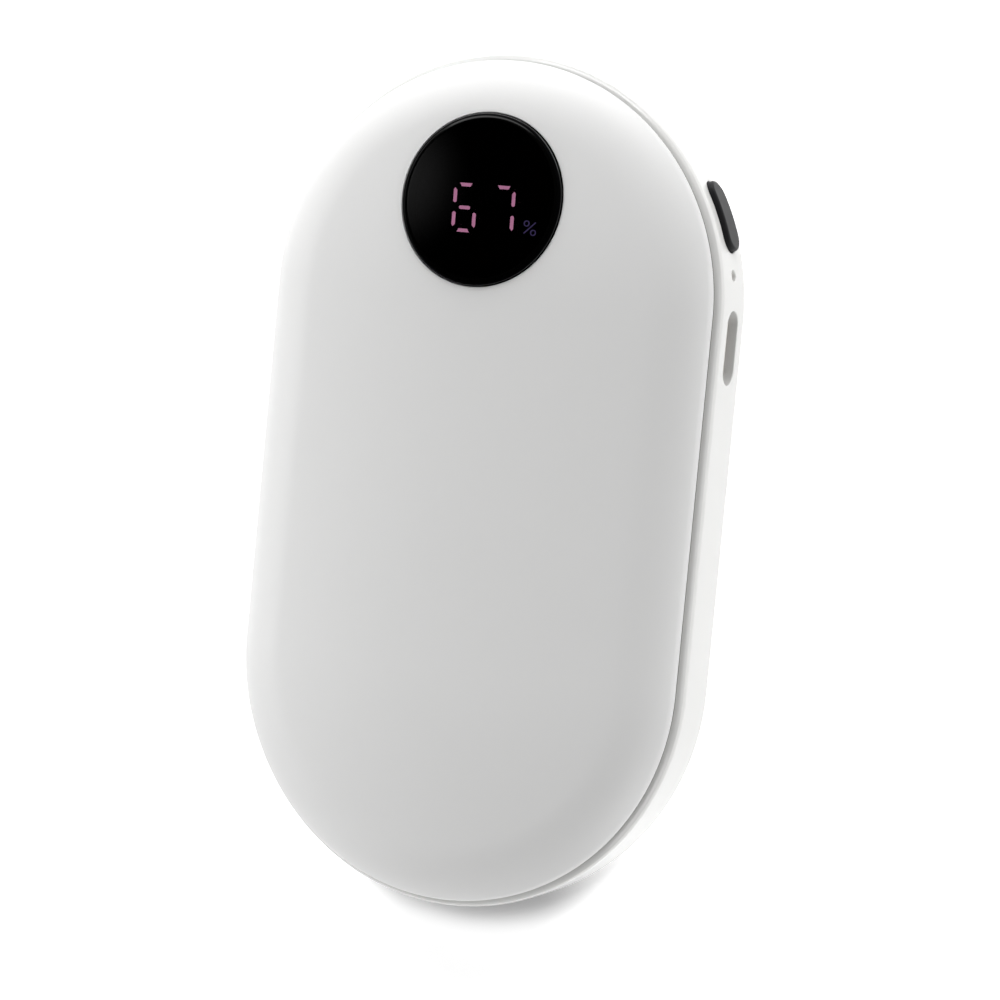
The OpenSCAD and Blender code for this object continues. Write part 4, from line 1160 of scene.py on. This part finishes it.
def metal(name, base, rough, stretch, scale=2500, depth=0.002):
    """Metal with streaks that darken the colour a little and roughen it."""
    darkest, brightest, rough_swing = 0.88, 1.06, 0.15
    material, tree, shader = new_material(name, base)
    shader.inputs["Metallic"].default_value = 1.0
    streaks = tree.nodes.new("ShaderNodeGroup")
    streaks.node_tree = streak_group()
    streaks.inputs["Length"].default_value = stretch
    streaks.inputs["Scale"].default_value = scale
    mask = streaks.outputs["Mask"]
    colour = mixed(tree, mask, [v * darkest for v in base], [min(1, v * brightest) for v in base])
    tree.links.new(colour, shader.inputs["Base Color"])
    tree.links.new(calculate(tree, "MULTIPLY_ADD", mask, rough_swing, rough), shader.inputs["Roughness"])
    add_bump(tree, shader, streaks.outputs["Height"], depth)
    return material


def glowing(name, base, strength):
    """Lit segment whose light is uneven, as from the small lamps behind it."""
    dimmest, brightest = 0.8, 1.15
    material, tree, shader = new_material(name, base)
    shader.inputs["Base Color"].default_value = (0.05, 0.05, 0.05, 1)
    shader.inputs["Roughness"].default_value = 0.5
    shader.inputs["Emission Strength"].default_value = strength
    mask = noise(tree, object_place(tree), scale=700, detail=2)
    colour = mixed(tree, mask, [v * dimmest for v in base], [min(1, v * brightest) for v in base])
    tree.links.new(colour, shader.inputs["Emission Color"])
    return material


def smoked_glass(name):
    """Smoked window: clear but dark, polished, with faint smears in its roughness."""
    material, tree, shader = new_material(name, (0.02, 0.02, 0.025))
    shader.inputs["Base Color"].default_value = (0.1, 0.1, 0.105, 1)
    shader.inputs["Transmission Weight"].default_value = 1.0
    shader.inputs["IOR"].default_value = 1.5
    least, most = 0.01, 0.04
    smears = noise(tree, object_place(tree), scale=90, detail=4)
    rough = calculate(tree, "MULTIPLY_ADD", smears, most - least, least)
    tree.links.new(rough, shader.inputs["Roughness"])
    return material


def gloss_band(name):
    """Gloss plastic of the band, with painted shade that darkens its shoulders next to the covers."""
    darkens_from, darkest_at = 0.8 * MM, 0.55 * MM
    given = {"rough": 0.22, "variation": 0.01, "swing": 0.04}
    material = surface(name, colours().band, **given, patch=45, grain=1200, depth=0.001)
    tree = material.node_tree
    base = tree.nodes["Principled BSDF"].inputs["Base Color"]
    colour = base.links[0].from_socket
    height = split_axes(tree, object_place(tree))["Z"]
    off = calculate(tree, "ABSOLUTE", calculate(tree, "SUBTRACT", height, MIDDLE_Z))
    half = BAND_HIGH.z - MIDDLE_Z
    # Painted shade: the colour darkens from the band's flat face towards its rounded shoulders at the covers.
    shade = fall(tree, off, half - darkens_from, half - darkest_at, 1.0, colours().shoulder_shade)
    tree.links.new(scaled(tree, colour, shade), base)
    return material


def satin_cover(name):
    """Satin plastic of both covers."""
    given = {"rough": 0.42, "variation": 0.012, "patch": 45, "grain": 3200, "depth": 0.0025}
    return surface(name, colours().cover, **given)


def satin_button(name):
    """Dark satin plastic of the button."""
    given = {"rough": 0.45, "variation": 0.06, "patch": 200, "grain": 5200, "depth": 0.003}
    return surface(name, colours().button, **given, Specular_IOR_Level=0.1)


def digit_light(name):
    """Light of the two digits."""
    return glowing(name, colours().digits, strength=7.0)


def percent_light(name):
    """Dimmer light of the percent sign."""
    return glowing(name, colours().percent, strength=3.2)


# Moulded, printed, coated and foamed surfaces: colour, roughness, tone variation, and then the
# scale of the patches and the grain, the grain's depth in millimetres and plain shader values
SURFACES = {
    "tray_plastic": ((0.022, 0.022, 0.024), 0.5, 0.1, {"grain": 2500, "depth": 0.01}),
    "adhesive": ((0.05, 0.05, 0.045), 0.8, 0.15, {"grain": 6000, "depth": 0.01}),
    "border_print": (
        (0.002, 0.002, 0.0025), 0.5, 0.1, {"grain": 5000, "depth": 0.001, "Specular_IOR_Level": 0.03}
    ),
    "polished_edge": ((0.002, 0.002, 0.002), 0.15, 0.1, {"grain": 5000, "depth": 0.0005}),
    "display_black": (
        (0.002, 0.002, 0.0025), 0.6, 0.15, {"grain": 5000, "depth": 0.002, "Specular_IOR_Level": 0.03}
    ),
    "board_laminate": ((0.008, 0.075, 0.03), 0.35, 0.2, {"patch": 250, "grain": 3500, "depth": 0.01}),
    "flex_film": ((0.32, 0.13, 0.02), 0.3, 0.15, {"patch": 200, "grain": 2500, "Coat_Weight": 0.3}),
    "connector_plastic": ((0.70, 0.66, 0.54), 0.45, 0.06, {"grain": 3000, "depth": 0.006}),
    "chip_plastic": ((0.012, 0.012, 0.014), 0.55, 0.2, {"patch": 400, "grain": 7000, "depth": 0.006}),
    "coil_ferrite": ((0.04, 0.04, 0.043), 0.7, 0.25, {"patch": 500, "grain": 5000, "depth": 0.02}),
    "capacitor_ceramic": ((0.33, 0.2, 0.09), 0.4, 0.12, {"patch": 600, "grain": 5000, "depth": 0.005}),
    "tongue_plastic": ((0.012, 0.012, 0.012), 0.45, 0.15, {"grain": 5000}),
    "lamp_plastic": ((0.75, 0.70, 0.50), 0.3, 0.05, {"grain": 5000, "depth": 0.002}),
    "lead_red": ((0.38, 0.01, 0.008), 0.45, 0.1, {}),
    "lead_black": ((0.008, 0.008, 0.008), 0.45, 0.2, {}),
    "heater_film": (
        (0.48, 0.15, 0.02), 0.3, 0.12, {"patch": 180, "grain": 1500, "depth": 0.01, "Coat_Weight": 0.4}
    ),
    "foam": ((0.22, 0.22, 0.23), 0.9, 0.2, {"patch": 300, "grain": 1800, "depth": 0.15}),
    "sensor_epoxy": (
        (0.05, 0.016, 0.006), 0.15, 0.2, {"patch": 500, "grain": 3000, "depth": 0.01, "Coat_Weight": 0.5}
    ),
    # Painted shade: a dark colour on the band's strips under the rims, standing in for the shade in the open
    # seam.
    "seam_shade": (
        (0.17, 0.155, 0.14), 0.7, 0.1, {"grain": 3000, "depth": 0.002, "Specular_IOR_Level": 0.1}
    ),
    "guide_plastic": ((0.52, 0.51, 0.48), 0.25, 0.04, {"grain": 3000, "depth": 0.002}),
}
# Metals: colour, roughness, the streaks' stretch along X, Y and Z, and their scale and depth
METALS = {
    "screw_steel": ((0.45, 0.45, 0.47), 0.3, (1, 1, 0.2)),
    "contact_brass": ((0.72, 0.48, 0.16), 0.2, (0.2, 1, 1)),
    "battery_foil": ((0.62, 0.62, 0.64), 0.35, (1, 0.15, 1), 900, 0.02),
    "heat_aluminium": ((0.80, 0.80, 0.81), 0.3, (1, 0.05, 1)),
    "port_steel": ((0.42, 0.38, 0.35), 0.38, (0.1, 1, 1), 3000),
}
# Finishes that have a function of their own
OTHERS = {
    "window_glass": smoked_glass,
    "segment_light": digit_light,
    "percent_light": percent_light,
    "cover_plastic": satin_cover,
    "band_plastic": gloss_band,
    "button_plastic": satin_button,
}
MADE = {}


def finish(name):
    """The named finish, made once."""
    if name not in MADE:
        title = name + "_finish"
        if name in SURFACES:
            *plain, more = SURFACES[name]
            MADE[name] = surface(title, *plain, **more)
        elif name in METALS:
            MADE[name] = metal(title, *METALS[name])
        else:
            MADE[name] = OTHERS[name](title)
    return MADE[name]


class WARMER_OT_inner_parts(Operator):
    """Finishes of the parts that keep the frame's own solids"""

    bl_idname = "warmer.inner_parts"
    bl_label = "Inner Parts"

    def execute(self, context):
        slots = {part["node"]: part["material_slot"] for part in frame["record"]["subparts"]}
        for name, node in frame["nodes"].items():
            if node.hide_render:
                continue
            node.data.materials.clear()
            node.data.materials.append(finish(slots[name]))
        return {"FINISHED"}


# Stage


# Lamps: name, degrees from +X, degrees from the floor, size and power
LAMPS = [
    ("right_box", 0, 5, 0.5, 2.74),
    ("end_box", 90, 5, 0.5, 4.85),
    ("corner_box", 120, 10, 0.5, 1.5),
    ("left_box", 180, 28, 0.5, 2.45),
    ("near_left_box", 215, 35, 0.5, 2.0),
    ("near_low_box", 215, 10, 0.5, 0.85),
    ("near_right_box", 315, 12, 0.5, 2.74),
]
# Lamps that the polished window mirrors at its edge
EDGE_LAMPS = [("far_right_box", 60, 10, 0.5, 1.9), ("edge_light", 115, 22, 0.6, 1.8)]
FLOOR_LAMP = ("floor_box", 48, 73.6, 0.18, 6.0)
LAMP_DISTANCE = 0.8
# Middle of the floor's shaded patch in the case's frame, and where its shade starts and ends
SHADE_MIDDLE = (-0.0014, -0.0570, 0.0)
SHADE_START, SHADE_END = 9 * MM, 28 * MM
# The way to the card that the window mirrors to the photograph's camera, and how wide the card is
CARD_DIRECTION = (-0.4483, 0.1864, 0.8742)
CARD_WIDTH = 0.0285
# Rise of a ray over which the mirrored sky darkens and over which the even light ends, and the
# turn towards +Y over which the mirrored sky brightens from its lowest share
SKY_RISE, FILL_RISE, SKY_TURN = (0.08, 0.42), (0.1, 0.45), (0.1, 0.7)
SKY_LOWEST = 0.35
# Shift of the photograph's frame against the middle of the case, as a share of its width
CAMERA_SHIFT = (0.01107, -0.01839)
FLOOR_HALF, FLOOR_LOW = 3.0, -0.02 * MM


def area_lamp(name, azimuth, elevation, size, power):
    """A square lamp that faces the case from a direction."""
    lamp = bpy.data.lights.new(name, "AREA")
    lamp.size = size
    lamp.energy = power
    made = bpy.data.objects.new(name, lamp)
    bpy.context.scene.collection.objects.link(made)
    a, e = math.radians(azimuth), math.radians(elevation)
    away = Vector((math.cos(e) * math.cos(a), math.cos(e) * math.sin(a), math.sin(e)))
    made.location = Vector((0, 0, MIDDLE_Z)) + away * LAMP_DISTANCE
    made.rotation_euler = away.to_track_quat("Z", "Y").to_euler()
    made.visible_camera = False
    return made


def seen_mask(tree):
    """1 for rays from the camera, a mirror or glass, and 0 for the light that lands on a surface."""
    path = tree.nodes.new("ShaderNodeLightPath")
    first = calculate(tree, "MAXIMUM", path.outputs["Is Camera Ray"], path.outputs["Is Glossy Ray"])
    return calculate(tree, "MAXIMUM", first, path.outputs["Is Transmission Ray"])


def stage_world():
    """White to the camera. Mirrors see white near the horizon, dark above it, and one soft grey card.

    The card's brightness falls evenly with the distance between the ray's direction and its own.
    """
    given = lights()
    world = bpy.data.worlds.new("studio")
    bpy.context.scene.world = world
    world.use_nodes = True
    tree = world.node_tree
    direction = tree.nodes.new("ShaderNodeTexCoord").outputs["Generated"]
    axes = split_axes(tree, direction)
    sky = fall(tree, axes["Z"], *SKY_RISE, 1.0, given.zenith)
    sky = calculate(tree, "MULTIPLY", sky, fall(tree, axes["Y"], *SKY_TURN, SKY_LOWEST, 1.0))
    horizon = fall(tree, axes["Z"], *FILL_RISE, given.fill, 0.0)
    off_card = distance_from(tree, direction, CARD_DIRECTION)
    card = fall(tree, off_card, 0.0, CARD_WIDTH, given.card, 0.0)
    ray = tree.nodes.new("ShaderNodeLightPath").outputs
    mirrored = calculate(tree, "MULTIPLY", ray["Is Glossy Ray"], calculate(tree, "ADD", sky, card))
    diffuse = calculate(tree, "MULTIPLY", horizon, ray["Is Diffuse Ray"])
    fill = calculate(tree, "MAXIMUM", mirrored, diffuse)
    strength = calculate(tree, "MAXIMUM", fill, ray["Is Camera Ray"])
    tree.nodes["Background"].inputs["Color"].default_value = (1, 1, 1, 1)
    tree.links.new(strength, tree.nodes["Background"].inputs["Strength"])


def floor_paper():
    """Paper that glows where it is seen, to look white, and less so at the near end for the shadow."""
    given, paper = lights(), colours().floor
    material, tree, shader = new_material("floor_paper", paper)
    seen = seen_mask(tree)
    colour = mixed(tree, seen, [given.bounce * v for v in paper], paper)
    tree.links.new(colour, shader.inputs["Base Color"])
    shader.inputs["Roughness"].default_value = 0.9
    shader.inputs["Specular IOR Level"].default_value = 0.0
    shader.inputs["Emission Color"].default_value = (1, 1, 1, 1)
    away = distance_from(tree, object_place(tree), SHADE_MIDDLE)
    shade = fall(tree, away, SHADE_START, SHADE_END, given.floor_glow, 1.0)
    tree.links.new(calculate(tree, "MULTIPLY", seen, shade), shader.inputs["Emission Strength"])
    return material


def stage_floor():
    """A wide plain floor under the case."""
    mesh = bpy.data.meshes.new("floor")
    corners = [(-1, -1), (1, -1), (1, 1), (-1, 1)]
    mesh.from_pydata([(FLOOR_HALF * x, FLOOR_HALF * y, FLOOR_LOW) for x, y in corners], [], [(0, 1, 2, 3)])
    mesh.materials.append(floor_paper())
    floor = bpy.data.objects.new("floor", mesh)
    bpy.context.scene.collection.objects.link(floor)
    return floor


def receivers(name, pieces, state):
    """A collection for light linking in which the pieces are the only ones lit, or the ones left out."""
    linked = bpy.data.collections.new(name)
    for one in pieces:
        linked.objects.link(one)
    for entry in linked.collection_objects:
        entry.light_linking.link_state = state
    return linked


def stage_lamps(floor):
    """One lamp lights the floor alone, and the others light the case and leave the floor out."""
    window = bpy.data.objects["smoked_window"]
    area_lamp(*FLOOR_LAMP).light_linking.receiver_collection = receivers("lit_floor", [floor], "INCLUDE")
    for lamps, left_out in ((LAMPS, [floor, window]), (EDGE_LAMPS, [floor])):
        for lamp in lamps:
            linking = area_lamp(*lamp).light_linking
            linking.receiver_collection = receivers(lamp[0], left_out, "EXCLUDE")


def stage_camera():
    """The photograph's camera: over the front cover, turned towards +X and +Y, and rolled."""
    given = lights()
    a, e, roll = given.camera_azimuth, given.camera_rise, given.camera_roll
    back = Vector((math.sin(a) * math.cos(e), math.sin(e), math.cos(a) * math.cos(e)))
    level = Vector((0, 1, 0)).cross(back).normalized()
    upright = back.cross(level)
    right = level * math.cos(roll) + upright * math.sin(roll)
    up = upright * math.cos(roll) - level * math.sin(roll)
    camera = bpy.data.cameras.new("camera")
    camera.sensor_width = 36
    camera.lens = given.camera_lens
    camera.clip_start = 0.01
    camera.shift_x, camera.shift_y = CAMERA_SHIFT
    made = bpy.data.objects.new("camera", camera)
    bpy.context.scene.collection.objects.link(made)
    turned = Matrix((right, up, back)).transposed().to_4x4()
    turned.translation = Vector((0, 0, MIDDLE_Z)) + back * given.camera_distance
    made.matrix_world = turned
    bpy.context.scene.camera = made


class WARMER_OT_stage(Operator):
    """Floor, world, lamps and camera"""

    bl_idname = "warmer.stage"
    bl_label = "Stage"

    def execute(self, context):
        context.scene.view_settings.view_transform = "Standard"
        stage_world()
        stage_lamps(stage_floor())
        stage_camera()
        return {"FINISHED"}


# Panel and registration

STEPS = (
    WARMER_OT_front_cover,
    WARMER_OT_rear_cover,
    WARMER_OT_band,
    WARMER_OT_window,
    WARMER_OT_display,
    WARMER_OT_button,
    WARMER_OT_charge_light,
    WARMER_OT_port,
    WARMER_OT_inner_parts,
    WARMER_OT_stage,
)


class WARMER_PT_sidebar(Panel):
    """Lists the pieces of the hand warmer"""

    bl_idname = "WARMER_PT_sidebar"
    bl_label = "Hand Warmer"
    bl_space_type = "VIEW_3D"
    bl_region_type = "UI"
    bl_category = "Hand Warmer"

    def draw(self, context):
        for step in STEPS:
            self.layout.operator(step.bl_idname)
        for group in (context.scene.warmer_sizes, context.scene.warmer_colours, context.scene.warmer_light):
            column = self.layout.column()
            for name in group.__annotations__:
                column.prop(group, name)


CLASSES = (WarmerSizes, WarmerColours, WarmerLight, *STEPS, WARMER_PT_sidebar)


def register():
    for one in CLASSES:
        bpy.utils.register_class(one)
    bpy.types.Scene.warmer_sizes = PointerProperty(type=WarmerSizes)
    bpy.types.Scene.warmer_colours = PointerProperty(type=WarmerColours)
    bpy.types.Scene.warmer_light = PointerProperty(type=WarmerLight)


def unregister():
    del bpy.types.Scene.warmer_sizes
    del bpy.types.Scene.warmer_colours
    del bpy.types.Scene.warmer_light
    for one in reversed(CLASSES):
        bpy.utils.unregister_class(one)


def main():
    register()
    for step in STEPS:
        category, name = step.bl_idname.split(".")
        getattr(getattr(bpy.ops, category), name)()


if __name__ == "__main__":
    main()
